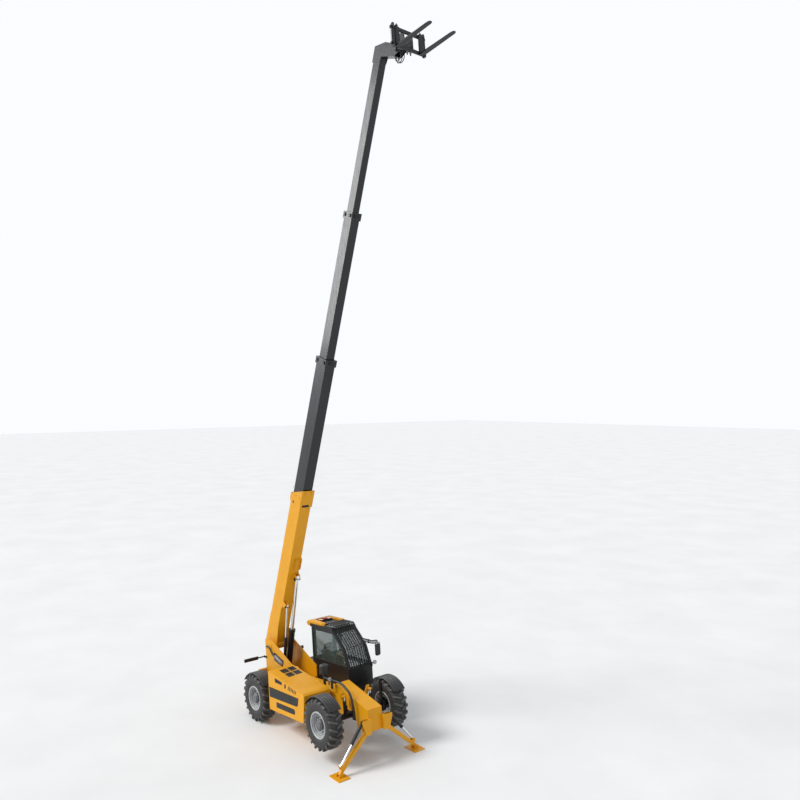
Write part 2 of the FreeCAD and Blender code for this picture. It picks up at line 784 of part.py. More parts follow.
def make_section(label, number):
    """One telescopic boom section: a box tube with a collar and wear pads."""
    body = new_body(label)
    width, depth, wall, rear, front = SECTIONS[number]
    extrude(body, "YZ_Plane", rear, front, "Pad",
            lambda sketch: draw_polygon(sketch, box_ring(width, depth)))
    rise = S.collar_rise
    if number < 3:
        extrude(body, "YZ_Plane", front - S.collar_length, front, "Pad",
                lambda sketch: draw_polygon(sketch, box_ring(width + 2 * rise, depth + 2 * rise)))
    if number == 0:
        low = S.boom_centre - depth / 2
        add(body, "XZ_Plane", ((front - S.outer_lip, low - rise), (front + S.outer_lip, low - rise),
                               (front + S.outer_lip, low + wall), (front, S.boom_centre + depth / 2),
                               (front - S.outer_lip, S.boom_centre + depth / 2)),
            -width / 2 - rise, width / 2 + rise)
    end = front + S.outer_lip if number == 0 else front
    extrude(body, "YZ_Plane", rear - wall, end + wall, "Pocket",
            lambda sketch: draw_polygon(sketch, box_ring(width - 2 * wall, depth - 2 * wall)))
    hollow = (width - 2 * wall, depth - 2 * wall)
    if number < 3:
        following = SECTIONS[number + 1]
        add_wear_pads(body, hollow, following[:2], front - S.pad_length, front, True)
    if number > 0:
        before = SECTIONS[number - 1]
        outside = (before[0] - 2 * before[2], before[1] - 2 * before[2])
        add_wear_pads(body, outside, (width, depth), rear, rear + S.pad_length, False)
    body.Placement = boom_place()
    return body


def make_outer_boom():
    """The painted base section with its pivot tube, cheek plates and cylinder lugs."""
    body = make_section("outer_boom", 0)
    half = S.outer_width / 2
    low = S.boom_centre - S.outer_depth / 2
    high = S.boom_centre + S.outer_depth / 2
    tube = 2.2 * S.pivot_pin
    reach = S.tower_half - S.frame_plate - S.boss_rise - S.plate_gap / 2
    cheek = ((-tube, -tube), (tube, -tube), (S.cheek_length / 2, low), (S.cheek_length, low + wall_of(0)),
             (S.cheek_length - S.cheek_slope, high), (-S.outer_rear, high), (-tube, 0.0))
    for _, side in SIDES:
        add(body, "XZ_Plane", cheek, *span(side, half - 1.0, half + S.cheek_wall))
    add_round(body, "XZ_Plane", (0.0, 0.0), tube, -reach, reach)
    cut_round(body, "XZ_Plane", (0.0, 0.0), S.pivot_pin + S.run_gap, -reach, reach)
    for along, under, middle, eye, pin in (
            (S.lift_lug_along, S.lift_lug_under, S.lift_side, S.lift_eye, S.lift_pin),
            (S.comp_lug_along, S.comp_lug_under, -S.comp_side, S.comp_eye, S.comp_pin)):
        ear = ((along - 4 * pin, low + wall_of(0) / 2), (along - 1.6 * pin, -under - 1.2 * pin),
               (along + 1.6 * pin, -under - 1.2 * pin), (along + 4 * pin, low + wall_of(0) / 2))
        inner = eye / 2 + S.plate_gap
        for near in (middle + inner, middle - inner - S.lug_wall):
            add(body, "XZ_Plane", ear, near, near + S.lug_wall)
    return body


def make_fourth_section():
    """The inner section with the gooseneck head that carries the fork carriage."""
    body = make_section("boom_section_4", 3)
    end, middle = FOURTH_END, S.boom_centre
    top = middle + S.fourth_depth / 2
    tilt = (TILT_ALONG, -S.tilt_under)
    eye = 2.1 * S.tilt_pin
    plate = (
        (end - S.head_lap, middle - S.fourth_depth / 2), (end, middle - S.fourth_depth / 2 - 30.0),
        (end, -S.tilt_under + eye), (end + S.head_heel, -S.tilt_under - eye),
        (TILT_ALONG + eye, -S.tilt_under - eye), (TILT_ALONG + 1.6 * eye, -S.tilt_under + 2 * eye),
        (end + S.head_depth, middle - S.fourth_depth / 2 - 100.0), (end + S.head_top, top + 36.0),
        (end - S.head_lap, top + 36.0))
    for _, side in SIDES:
        add(body, "XZ_Plane", plate, *span(side, S.head_half, S.head_half + S.head_plate))
    # back web over the elbow, and the under web of the arm
    block(body, (end - S.head_lap, end + S.head_top), (-S.head_half, S.head_half),
          (top + 36.0 - S.head_plate, top + 36.0))
    block(body, (end, end + S.head_plate), (-S.head_half, S.head_half),
          (-S.tilt_under + eye, middle - S.fourth_depth / 2 + S.fourth_wall))
    add_round(body, "XZ_Plane", tilt, eye, -S.head_half, S.head_half)
    cut_round(body, "XZ_Plane", tilt, S.tilt_pin + S.run_gap,
              -S.head_half - S.head_plate, S.head_half + S.head_plate)
    add_round(body, "XZ_Plane", (TILT_BASE_ALONG, S.tilt_base_high), S.tilt_rod,
              -S.head_half, S.head_half)
    return body


def boom_point(along, up):
    """A point of the boom frame, in the machine frame at rest."""
    return point_at(BOOM, S.boom_angle.value, along, up)


def link_place(foot, head, y):
    """Placement of a cylinder, drawn along X, from its foot pin towards its head pin."""
    angle = math.degrees(math.atan2(head[1] - foot[1], head[0] - foot[0]))
    return Placement(Vector(foot[0], y, foot[1]), Rotation(Vector(0, 1, 0), -angle))


def distance(a, b):
    return math.hypot(b[0] - a[0], b[1] - a[1])


def make_ram(label, length, radii, foot, head, cover, tail, place):
    """A hydraulic cylinder along X: barrel with its foot eye, and rod with its head eye.

    radii are of barrel and rod, foot and head are pin radius and eye width, cover is the
    barrel's length from the foot pin, and tail the length of rod inside it at rest.
    """
    (barrel, rod), (foot_pin, foot_eye), (head_pin, head_eye) = radii, foot, head
    shell = new_body(label + "_barrel")
    add_round(shell, "XZ_Plane", (0.0, 0.0), 1.9 * foot_pin, -foot_eye / 2, foot_eye / 2)
    add_round(shell, "YZ_Plane", (0.0, 0.0), barrel, 3 * foot_pin, cover)
    block(shell, (0.0, 3 * foot_pin), (-foot_eye / 2, foot_eye / 2),
          (-1.3 * foot_pin, 1.3 * foot_pin))
    add_round(shell, "YZ_Plane", (0.0, 0.0), 1.12 * barrel, cover - 0.8 * barrel, cover)
    cut_round(shell, "XZ_Plane", (0.0, 0.0), foot_pin + S.run_gap, -foot_eye / 2, foot_eye / 2)
    cut_round(shell, "YZ_Plane", (0.0, 0.0), rod + S.run_gap, 2.4 * foot_pin, cover)
    shell.Placement = place
    stem = new_body(label + "_rod")
    add_round(stem, "YZ_Plane", (0.0, 0.0), rod, cover - tail, length - head_pin)
    add_round(stem, "XZ_Plane", (length, 0.0), 1.9 * head_pin, -head_eye / 2, head_eye / 2)
    stem.Placement = place
    return shell, stem


def make_boom_cylinders():
    """Lift and compensation cylinders between the tower and the boom's underside."""
    table = (
        ("lift_cylinder", S.lift_side, (-S.lift_foot_back, S.lift_foot_high),
         (S.lift_lug_along, -S.lift_lug_under), (S.lift_barrel, S.lift_rod),
         (S.lift_pin, S.lift_eye), S.lift_cover, S.lift_tail),
        ("compensation_cylinder", -S.comp_side, (-S.comp_foot_back, S.comp_foot_high),
         (S.comp_lug_along, -S.comp_lug_under), (S.comp_barrel, S.comp_rod),
         (S.comp_pin, S.comp_eye), S.comp_cover, S.comp_tail),
    )
    for label, y, foot, lug, radii, eye, cover, tail in table:
        foot = tuple(value_of(size) for size in foot)
        head = boom_point(*lug)
        make_ram(label, distance(foot, head), radii, eye, eye, cover, tail,
                 link_place(foot, head, value_of(y)))


def tilt_point():
    return boom_point(TILT_ALONG, -S.tilt_under)


def make_tilt_cylinder():
    """Tilt cylinder in the gooseneck, from its elbow to the crank on the carriage."""
    foot = boom_point(TILT_BASE_ALONG, S.tilt_base_high)
    pivot = tilt_point()
    head = (pivot[0] + S.crank_along.value, pivot[1] + S.crank_high.value)
    make_ram("tilt_cylinder", distance(foot, head), (S.tilt_barrel, S.tilt_rod),
             (S.tilt_rod, S.tilt_eye), (S.tilt_rod, S.tilt_eye), S.tilt_cover, S.tilt_tail,
             link_place(foot, head, 0.0))


def make_carriage():
    """Fork carriage: two rails, end plates, and the ears that swing on the tilt pin."""
    body = new_body("fork_carriage")
    back, wall = S.carriage_back, S.carriage_wall
    low, high, rail = -S.carriage_low, S.carriage_high, S.carriage_rail
    half = S.carriage_half
    block(body, (back, back + wall), (-half, half), (low, low + rail))
    block(body, (back, back + wall), (-half, half), (high - rail, high))
    for _, side in SIDES:
        block(body, (back, back + 2 * wall), span(side, half - wall, half), (low, high))
        inner = S.head_half + S.head_plate + S.plate_gap
        ear = ((-2 * S.tilt_pin, -2 * S.tilt_pin), (2 * S.tilt_pin, -2 * S.tilt_pin), (back, low),
               (back + wall, low), (back + wall, high), (back, high),
               (S.crank_along - 2 * S.tilt_rod, S.crank_high + 2 * S.tilt_rod),
               (-2 * S.tilt_pin, 2 * S.tilt_pin))
        add(body, "XZ_Plane", ear, *span(side, inner, inner + 1.6 * S.head_plate))
    reach = S.head_half + 2.6 * S.head_plate + S.plate_gap
    add_round(body, "XZ_Plane", (0.0, 0.0), S.tilt_pin, -reach, reach)
    place = tilt_point()
    body.Placement = Placement(Vector(place[0], 0, place[1]), Rotation())
    return body


def make_forks():
    """Two forks, hung on the carriage's rails, each a tapered blade and an upright shank."""
    body = new_body("forks")
    front = S.carriage_back + S.carriage_wall + S.run_gap
    thick = S.fork_thick
    low = -S.fork_drop
    blade = ((front, S.carriage_high - 20.0), (front, low), (front + S.fork_reach, low + thick / 2),
             (front + S.fork_reach, low + thick / 2 + 12.0), (front + 3 * thick, low + thick),
             (front + thick, low + 1.6 * thick), (front + thick, S.carriage_high - 20.0))
    for _, side in SIDES:
        add(body, "XZ_Plane", blade,
            *span(side, S.fork_side - S.fork_width / 2, S.fork_side + S.fork_width / 2))
    place = tilt_point()
    body.Placement = Placement(Vector(place[0], 0, place[1]), Rotation())
    return body


# Height of the stabilisers' pad pivots that puts their pads on the rear tyres' ground
FOOT_HIGH = S.tyre_radius + (
    S.pad_pivot_high - S.tyre_radius - (S.leg_plane + AXLE) * sine(S.nose_pitch)
) / cosine(S.nose_pitch)
LEG_DROP = S.leg_hinge_high - FOOT_HIGH
LEG_REACH = S.leg_foot_side - S.leg_hinge_side


def side_place(side, y, z, angle=0.0):
    """Placement of a piece drawn in the X-Z plane of one stabiliser, X pointing outward."""
    lean = Rotation(Vector(0, 1, 0), angle)
    face = Rotation(Vector(0, 0, 1), 90 * side)
    return Placement(Vector(S.leg_plane.value, side * y, z), face * lean)


def make_stabilisers():
    """On each side a leg, its pad, and the cylinder that swings the leg down."""
    angle = math.degrees(math.atan2(LEG_DROP.value, LEG_REACH.value))
    length = length_of(LEG_REACH, LEG_DROP)
    half, wide = S.leg_depth / 2, S.leg_width / 2
    pin = S.ram_pin
    # the pad lies level on the ground, so its pin stands askew in the leg's hole
    loose = pin + wide * sine(S.nose_pitch) / cosine(S.nose_pitch) + S.run_gap
    for name, side in SIDES:
        leg = new_body("stabiliser_leg_" + name)
        beam = ((0.0, -half * 0.8), (length, -half * 0.5), (length, half * 0.5),
                (S.leg_lug_along + 2 * S.ram_pin, half * 0.8), (0.0, half * 0.8))
        add(leg, "XZ_Plane", beam, -wide, wide)
        add_round(leg, "XZ_Plane", (0.0, 0.0), half * 0.8, -wide, wide)
        add_round(leg, "XZ_Plane", (length, 0.0), half * 0.5, -wide, wide)
        cut_round(leg, "XZ_Plane", (0.0, 0.0), S.leg_pin + S.run_gap, -wide, wide)
        cut_round(leg, "XZ_Plane", (length, 0.0), loose, -wide, wide)
        lug = ((S.leg_lug_along - 4 * S.ram_pin, 0.0), (S.leg_lug_along + 4 * S.ram_pin, 0.0),
               (S.leg_lug_along + 2 * S.ram_pin, S.leg_lug_high + 2 * S.ram_pin),
               (S.leg_lug_along - 2 * S.ram_pin, S.leg_lug_high + 2 * S.ram_pin))
        inner = S.ram_eye / 2 + S.plate_gap / 2
        for _, edge in SIDES:
            add(leg, "XZ_Plane", lug, *span(edge, inner, wide))
        leg.Placement = side_place(side, S.leg_hinge_side.value, S.leg_hinge_high.value, angle)

        pad = new_body("stabiliser_pad_" + name)
        block(pad, (-S.pad_wide / 2, S.pad_wide / 2), (-S.pad_long / 2, S.pad_long / 2),
              (-S.pad_pivot_high, -S.pad_pivot_high + S.pad_plate))
        ear = ((-S.pad_wide / 4, -S.pad_pivot_high), (S.pad_wide / 4, -S.pad_pivot_high),
               (2 * S.ram_pin, 2 * S.ram_pin), (-2 * S.ram_pin, 2 * S.ram_pin))
        for _, edge in SIDES:
            add(pad, "XZ_Plane", ear, *span(edge, wide + S.pad_gap, wide + S.pad_gap + S.lug_wall))
        reach = wide + S.pad_gap + S.lug_wall
        add_round(pad, "XZ_Plane", (0.0, 0.0), pin, -reach, reach)
        level = side_place(side, S.leg_foot_side.value, FOOT_HIGH.value)
        level.Rotation = Rotation(Vector(0, 1, 0), S.nose_pitch.value) * level.Rotation
        pad.Placement = level

        lug_point = point_at((S.leg_hinge_side, S.leg_hinge_high), -angle, S.leg_lug_along,
                             S.leg_lug_high)
        top = (S.ram_side.value, S.ram_high.value)
        lean = math.degrees(math.atan2(top[1] - lug_point[1], lug_point[0] - top[0]))
        make_ram("stabiliser_cylinder_" + name, distance(top, lug_point),
                 (S.ram_barrel, S.ram_rod), (S.ram_pin, S.ram_eye), (S.ram_pin, S.ram_eye),
                 S.ram_cover, S.ram_tail, side_place(side, *top, lean))


# Cab outlines, X and Z: the lower tub and the glazed upper half
def cab_tub(inset=0.0, floor=0.0):
    return ((-S.cab_rear + inset, S.cab_floor + floor), (S.cab_foot_front - inset, S.cab_floor + floor),
            (S.cab_nose - inset, S.cab_floor + 300.0), (S.cab_nose - inset, S.cab_sill),
            (-S.cab_rear + inset, S.cab_sill))


def screen_x(height):
    """Front face of the windscreen, above its bend, at a height."""
    share = (height - S.bend_high) / (S.cab_roof - S.roof_depth - S.bend_high)
    return S.bend_front + (S.cab_roof_front - S.bend_front) * share


def cab_upper(inset=0.0):
    """Outline of the glazed part, all sides moved in by an inset."""
    return ((-S.cab_rear + inset, S.cab_sill + inset),
            (S.cab_nose - 1.4 * inset, S.cab_sill + inset),
            (S.bend_front - 1.2 * inset, S.bend_high),
            (S.cab_roof_front - 0.4 * inset, S.cab_roof - S.roof_depth - inset),
            (-S.cab_rear + inset, S.cab_roof - S.roof_depth - inset))


def make_cab():
    """Cab in its panels: tub, right side, rear, windscreen frame, roof and left door."""
    wall, inner, outer = S.cab_wall, S.cab_inner, S.cab_outer
    tub = new_body("cab_tub")
    add(tub, "XZ_Plane", cab_tub(), inner, outer)
    cut(tub, "XZ_Plane", cab_tub(wall, wall), inner + wall, outer - wall)
    cut(tub, "XZ_Plane", rectangle(-S.door_rear, S.cab_nose + wall, S.cab_floor + wall, S.cab_sill),
        outer - wall, outer)
    block(tub, (-S.cab_rear - S.step_back, -S.cab_rear), (inner, inner + S.step_wide),
          (S.cab_sill - S.step_deep, S.cab_sill - wall))
    # console under the steering column, its top square to the column
    lean, middle = S.column_lean, (inner + outer) / 2
    reach, half = S.column_length + S.run_gap, S.console_half
    foot = (S.wheel_x + reach * sine(lean), S.wheel_high - reach * cosine(lean))
    top = ((foot[0] + half * cosine(lean), foot[1] + half * sine(lean)),
           (foot[0] - half * cosine(lean), foot[1] - half * sine(lean)))
    add(tub, "XZ_Plane", (top[0], top[1], (top[1][0], S.cab_floor + wall / 2),
                          (top[0][0], S.cab_floor + wall / 2)), middle - half, middle + half)

    right = new_body("cab_right_side")
    add(right, "XZ_Plane", cab_upper(), inner, inner + wall)
    cut(right, "XZ_Plane", cab_upper(S.post), inner, inner + wall)

    rear = new_body("cab_rear")
    top = S.cab_roof - S.roof_depth
    block(rear, (-S.cab_rear, -S.cab_rear + wall), (inner + wall, outer), (S.cab_sill, top))
    cut(rear, "YZ_Plane", rectangle(inner + wall + S.post, outer - wall - S.post,
                                    S.cab_sill + S.post, top - S.post),
        -S.cab_rear, -S.cab_rear + wall)
    block(rear, (-S.cab_rear + wall, -S.door_rear), (outer - wall, outer), (S.cab_sill, top))
    cut(rear, "XZ_Plane", rectangle(-S.cab_rear + wall, -S.door_rear - S.post,
                                    S.cab_sill + S.post, top - S.post), outer - wall, outer)

    front = new_body("cab_windscreen_frame")
    outline = cab_upper()
    slant = (outline[1], outline[2], outline[3], (outline[3][0] - wall, outline[3][1]),
             (outline[2][0] - wall, outline[2][1]), (outline[1][0] - wall, outline[1][1]))
    add(front, "XZ_Plane", slant, inner + wall, outer - wall)
    cut(front, "YZ_Plane", rectangle(inner + wall + S.post / 2, outer - wall - S.post / 2,
                                     S.cab_sill + S.post / 2, top - S.post),
        S.cab_roof_front - 2 * wall, S.cab_nose + wall)

    roof = new_body("cab_roof")
    add(roof, "XZ_Plane", ((-S.cab_rear - S.roof_lip, top), (S.cab_roof_front, top),
                           (S.cab_roof_front - S.roof_lip, S.cab_roof),
                           (-S.cab_rear - S.roof_lip, S.cab_roof)), inner, outer)

    door = new_body("cab_door")
    gap, sill, upper = S.door_gap, S.cab_sill, cab_upper()
    back, floor = -S.door_rear, S.cab_floor + wall + S.door_gap
    leaf = ((back + gap, floor), (S.cab_foot_front - gap, floor),
            (S.cab_nose - gap, S.cab_floor + 300.0), (upper[1][0] - gap, sill),
            (upper[2][0] - gap, upper[2][1]), (upper[3][0] - gap, top - gap),
            (back + gap, top - gap))
    add(door, "XZ_Plane", leaf, outer - wall + S.run_gap, outer)
    post, low = S.post, S.cab_floor + 4 * S.post
    hole = ((back + post, sill + post / 2), (upper[1][0] - 2.2 * post, sill + post / 2),
            (upper[2][0] - 2.0 * post, upper[2][1]), (upper[3][0] - post, top - post),
            (back + post, top - post))
    cut(door, "XZ_Plane", hole, outer - wall, outer)
    low_hole = rectangle(back + 2 * post, S.cab_foot_front - 2 * post, low, sill - post)
    cut(door, "XZ_Plane", low_hole, outer - wall, outer)
    # hinges on the outside: the door's knuckle between two lugs of the rear panel
    hinge = (back + S.door_gap / 2, outer + S.knuckle_round + 1.0)
    strap = (outer, outer + S.strap_wall)
    for height in (S.door_hinge_low, S.door_hinge_high):
        ends = (height, height + S.knuckle_long)
        block(door, (back + gap, back + S.strap_long), strap, ends)
        add_round(door, "XY_Plane", hinge, S.knuckle_round, *ends)
        cut_round(door, "XY_Plane", hinge, S.knuckle_pin + S.run_gap, *ends)
        carrier = tub if height is S.door_hinge_low else rear
        for low, high in ((ends[0] - S.knuckle_lug - 2.0, ends[0] - 2.0),
                          (ends[1] + 2.0, ends[1] + 2.0 + S.knuckle_lug)):
            block(carrier, (back - S.strap_long, hinge[0]), strap, (low, high))
            add_round(carrier, "XY_Plane", hinge, S.knuckle_round, low, high)
        add_round(carrier, "XY_Plane", hinge, S.knuckle_pin, ends[0] - 4.0, ends[1] + 4.0)


def make_seat():
    """Driver's seat, cushion and back on one pedestal."""
    body = new_body("seat")
    middle = (S.cab_inner + S.cab_outer) / 2
    half = S.seat_wide / 2
    floor = S.cab_floor + S.cab_wall
    back = -S.seat_back
    block(body, (back + 100.0, back + S.seat_long - 80.0), (middle - half + 80.0, middle + half - 80.0),
          (floor, S.seat_high - 110.0))
    add(body, "XZ_Plane", ((back, S.seat_high - 110.0), (back + S.seat_long, S.seat_high - 110.0),
                           (back + S.seat_long, S.seat_high), (back + 120.0, S.seat_high - 20.0),
                           (back + 20.0, S.seat_high + 560.0), (back - 70.0, S.seat_high + 560.0)),
        middle - half, middle + half)
    return body


def make_steering_wheel():
    """Steering wheel on its column, leaning towards the seat."""
    body = new_body("steering_wheel")
    ring, thick = S.wheel_ring, 15.0
    turn(body, "XZ_Plane", rectangle(ring - thick, ring + thick, -thick, thick), "V_Axis")
    add_round(body, "XY_Plane", (0.0, 0.0), 45.0, -40.0, thick)
    block(body, (-ring, ring), (-12.0, 12.0), (-10.0, 5.0))
    block(body, (-12.0, 12.0), (-ring, ring), (-10.0, 5.0))
    add_round(body, "XY_Plane", (0.0, 0.0), S.column_radius, -S.column_length, -20.0)
    lean = Rotation(Vector(0, 1, 0), -S.column_lean.value)
    body.Placement = Placement(Vector(S.wheel_x.value, ((S.cab_inner + S.cab_outer) / 2).value,
                                      S.wheel_high.value), lean)
    return body


def make_engine_side():
    """Engine pod, its hinged hood and the engine block on the right side."""
    pod = new_body("engine_pod")
    wall, y0, y1 = S.pod_wall, -S.pod_outer, -S.pod_inner
    front = S.pod_front + S.pod_lean
    side = ((-S.pod_rear, S.pod_low), (S.pod_front, S.pod_low), (front, S.pod_high),
            (-S.pod_rear, S.pod_high))
    hollow = ((-S.pod_rear + wall, S.pod_low + wall), (S.pod_front - wall, S.pod_low + wall),
              (front - wall, S.pod_high + wall), (-S.pod_rear + wall, S.pod_high + wall))
    add(pod, "XZ_Plane", side, y0, y1)
    cut(pod, "XZ_Plane", hollow, y0 + wall, y1 - wall)

    hood = new_body("engine_hood")
    skin, base = S.hood_skin, S.pod_high + S.run_gap
    low, high = S.hood_front_high - 40.0, S.hood_front_high + 10.0
    shape = ((-S.pod_rear, base), (front, base), (front, low), (front - 60.0, high),
             (S.hood_break, S.hood_break_high), (-S.pod_rear, S.hood_rear_high))
    under = ((-S.pod_rear + skin, base - skin), (front - skin, base - skin),
             (front - skin, low - skin / 2), (front - 60.0 - skin / 2, high - skin),
             (S.hood_break, S.hood_break_high - skin),
             (-S.pod_rear + skin, S.hood_rear_high - 1.2 * skin))
    add(hood, "XZ_Plane", shape, y0, y1)
    cut(hood, "XZ_Plane", under, y0 + skin, y1 - skin)

    # hinges along the hood's inner top edge, carried by brackets on the pod's inner wall
    fall = math.degrees(math.atan2(value_of(S.hood_break_high - S.hood_rear_high),
                                   value_of(S.hood_break + S.pod_rear)))
    corner, axis_y = (-S.pod_rear, S.hood_rear_high), y1 + S.hood_hinge_in
    pin, barrel, lug = S.knuckle_pin, S.knuckle_round, S.knuckle_lug
    for at in (S.hood_hinge_rear, S.hood_hinge_front):
        def spot(along, corner=corner):
            x, z = point_at(corner, fall, along, 0.0)
            return x, axis_y, z
        cylinder(hood, "Additive", spot(at), fall, barrel, S.knuckle_long)
        strap = tuple(point_at(corner, fall, at + along, up)
                      for along, up in rectangle(0.0, S.knuckle_long, -barrel + 2.0, barrel - 2.0))
        add(hood, "XZ_Plane", strap, y1 - 2.0, axis_y)
        cylinder(hood, "Subtractive", spot(at - 1.0), fall, pin + S.run_gap, S.knuckle_long + 2.0)
        for near in (at - lug - 2.0, at + S.knuckle_long + 2.0):
            cylinder(pod, "Additive", spot(near), fall, barrel, lug)
            (x0, _, z0), (x1, _, z1) = spot(near + 4.0), spot(near + lug - 4.0)
            add(pod, "XZ_Plane", ((x0, S.pod_high - 80.0), (x1, S.pod_high - 80.0), (x1, z1), (x0, z0)),
                y1 + 2.0, y1 + 2.0 + S.bracket_wall)
        x0, _, _ = spot(at - lug - 2.0)
        x1, _, _ = spot(at + S.knuckle_long + 2.0 + lug)
        block(pod, (x0, x1), (y1, y1 + 2.0 + S.bracket_wall), (S.pod_high - 80.0, S.pod_high - 10.0))
        cylinder(pod, "Additive", spot(at - 4.0), fall, pin, S.knuckle_long + 8.0)

    engine = new_body("engine")
    block(engine, (-S.engine_back, -S.engine_back + S.engine_long),
          (-S.engine_side - S.engine_wide, -S.engine_side),
          (S.pod_low + wall, S.pod_low + wall + S.engine_high))


def make_fittings():
    """Air cleaner, rear lamp bars and the mirror, each on what carries it."""
    cleaner = new_body("air_cleaner")
    at = (S.cleaner_x, -S.cleaner_side)
    block(cleaner, (S.cleaner_x - 60.0, S.cleaner_x + 60.0), (-S.cleaner_side - 30.0, -S.frame_half),
          (S.frame_high - 80.0, S.frame_high - 60.0))
    add_round(cleaner, "XY_Plane", at, 38.0, S.frame_high - 80.0, S.cleaner_high)
    add_round(cleaner, "XY_Plane", at, S.cleaner_radius, S.cleaner_high - S.cleaner_tall / 2,
              S.cleaner_high + S.cleaner_tall / 2)

    lamps = new_body("rear_lamps")
    for _, side in SIDES:
        block(lamps, (-S.lamp_back, -S.lamp_back + 45.0), span(side, S.lamp_inner, S.lamp_outer),
              (S.lamp_high - 45.0, S.lamp_high + 45.0))
        block(lamps, (-S.lamp_back + 10.0, -S.lamp_back + 40.0), span(side, S.tower_half, S.lamp_inner),
              (S.lamp_high - 15.0, S.lamp_high + 15.0))
        block(lamps, (-S.lamp_back + 10.0, -S.tower_rear + 60.0), span(side, S.tower_half, S.tower_half + 20.0),
              (S.lamp_high - 30.0, S.lamp_high + 30.0))

    mirror = new_body("mirror")
    bar = S.mirror_bar
    block(mirror, (S.mirror_x - bar, S.mirror_x + bar),
          (S.mirror_y - S.mirror_half, S.mirror_y + S.mirror_half), (S.mirror_low, S.mirror_high))
    block(mirror, (S.mirror_x - bar / 2, S.mirror_x + bar / 2),
          (S.mirror_y - bar / 2, S.mirror_y + bar / 2), (S.mirror_high, S.mirror_high + 2 * bar))
    low, high = S.mirror_high + bar, S.mirror_high + 2 * bar
    root = S.cab_outer - S.cab_wall - bar
    block(mirror, (S.mirror_x - bar / 2, S.mirror_x + bar / 2), (root, S.mirror_y + bar / 2),
          (low, high))
    add(mirror, "XZ_Plane", ((screen_x(low) + S.run_gap, low), (S.mirror_x + bar / 2, low),
                             (S.mirror_x + bar / 2, high), (screen_x(high) + S.run_gap, high)),
        root, root + bar)


make_chassis()
make_tower()
make_counterweight()
make_brackets()
make_outriggers()
for end_name, end in ENDS:
    make_axle(end_name + "_axle", end)
    for side_name, side in SIDES:
        corner = f"{end_name}_{side_name}"
        make_knuckle("knuckle_" + corner, end, side)
        make_guard("mudguard_" + corner, end, side)
        make_tyre("tyre_" + corner, end, side)
        make_rim("rim_" + corner, end, side)
make_outer_boom()
make_section("boom_section_2", 1)
make_section("boom_section_3", 2)
make_fourth_section()
make_boom_cylinders()
make_tilt_cylinder()
make_carriage()
make_forks()
make_stabilisers()
make_cab()
make_seat()
make_steering_wheel()
make_engine_side()
make_fittings()
doc.recompute()


def check_document():
    """Stop if any object failed or any piece is empty, broken or uncut by its pockets."""
    for item in doc.Objects:
        if "Invalid" in item.State or "Error" in item.State:
            raise SystemExit(f"{item.Label} of {item.getParentGeoFeatureGroup()} failed: {item.State}")
        if item.TypeId == "PartDesign::Pocket" and item.BaseFeature is not None:
            if item.Shape.Volume > item.BaseFeature.Shape.Volume - 1.0:
                raise SystemExit(f"{item.Label} in {item.getParentGeoFeatureGroup().Label} cuts nothing")
    for node in NODES:
        if node.Shape.isNull() or not node.Shape.isValid() or not node.Shape.Solids:
            raise SystemExit(f"{node.Label} has no valid solid")


def stand():
    """Pitch the machine about its rear axle and centre its box over the row frame's origin."""
    centre = Vector(-AXLE.value, 0, S.tyre_radius.value)
    tilt = Placement(Vector(), Rotation(Vector(0, 1, 0), -S.nose_pitch.value), centre)
    for node in NODES:
        node.Placement = tilt * node.Placement
    box = FreeCAD.BoundBox()
    for node in NODES:
        box.add(node.Shape.optimalBoundingBox(False))
    shift = Placement(Vector(-box.Center.x, -box.Center.y, -box.ZMin), Rotation())
    for node in NODES:
        node.Placement = shift * node.Placement
    return shift * tilt


check_document()
STANCE = stand()
doc.recompute()
check_document()
os.makedirs("parts", exist_ok=True)
for node in NODES:
    node.Shape.exportStep(f"parts/{node.Label}.step")
print(len(NODES), "pieces,", "row frame from machine frame:", STANCE)
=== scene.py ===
"""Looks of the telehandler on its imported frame, in metres.

Coordinates are given in one of four frames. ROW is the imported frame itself: X forward, Y left, Z up
from the ground. MACHINE is the same on the machine, which stands nose up. BOOM starts at the boom's
pivot, with X along the boom. HEAD starts at the pin that the fork carriage tilts about.
"""

import math

import bmesh
import bpy
from mathutils import Matrix, Vector


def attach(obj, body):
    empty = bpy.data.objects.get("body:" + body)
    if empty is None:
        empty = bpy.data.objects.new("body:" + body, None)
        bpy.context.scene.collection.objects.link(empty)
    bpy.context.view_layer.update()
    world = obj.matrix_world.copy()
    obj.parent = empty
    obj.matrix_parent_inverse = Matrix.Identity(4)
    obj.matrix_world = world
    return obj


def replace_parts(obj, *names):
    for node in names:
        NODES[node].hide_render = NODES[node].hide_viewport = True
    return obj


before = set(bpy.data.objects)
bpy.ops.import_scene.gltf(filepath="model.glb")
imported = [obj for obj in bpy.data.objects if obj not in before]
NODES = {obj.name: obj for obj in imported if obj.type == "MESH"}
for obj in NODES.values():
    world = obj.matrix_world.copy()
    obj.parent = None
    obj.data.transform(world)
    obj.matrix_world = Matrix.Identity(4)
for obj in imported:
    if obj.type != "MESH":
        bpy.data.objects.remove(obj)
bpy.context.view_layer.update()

PITCH = math.radians(5.59)
BOOM_ANGLE = math.radians(65.98)
PIVOT = (-2.12, 0, 1.78)
ROW = Matrix.Identity(4)
MACHINE = Matrix.Translation((-1.05954, 0, 0.160873)) @ Matrix.Rotation(-PITCH, 4, "Y")
BOOM = MACHINE @ Matrix.Translation(PIVOT) @ Matrix.Rotation(-BOOM_ANGLE, 4, "Y")
HEAD = Matrix.Translation((2.3666, 0, 17.2786)) @ Matrix.Rotation(-PITCH, 4, "Y")
X_AXIS, Y_AXIS, UP, DOWN = (1, 0, 0), (0, 1, 0), (0, 0, 1), (0, 0, -1)
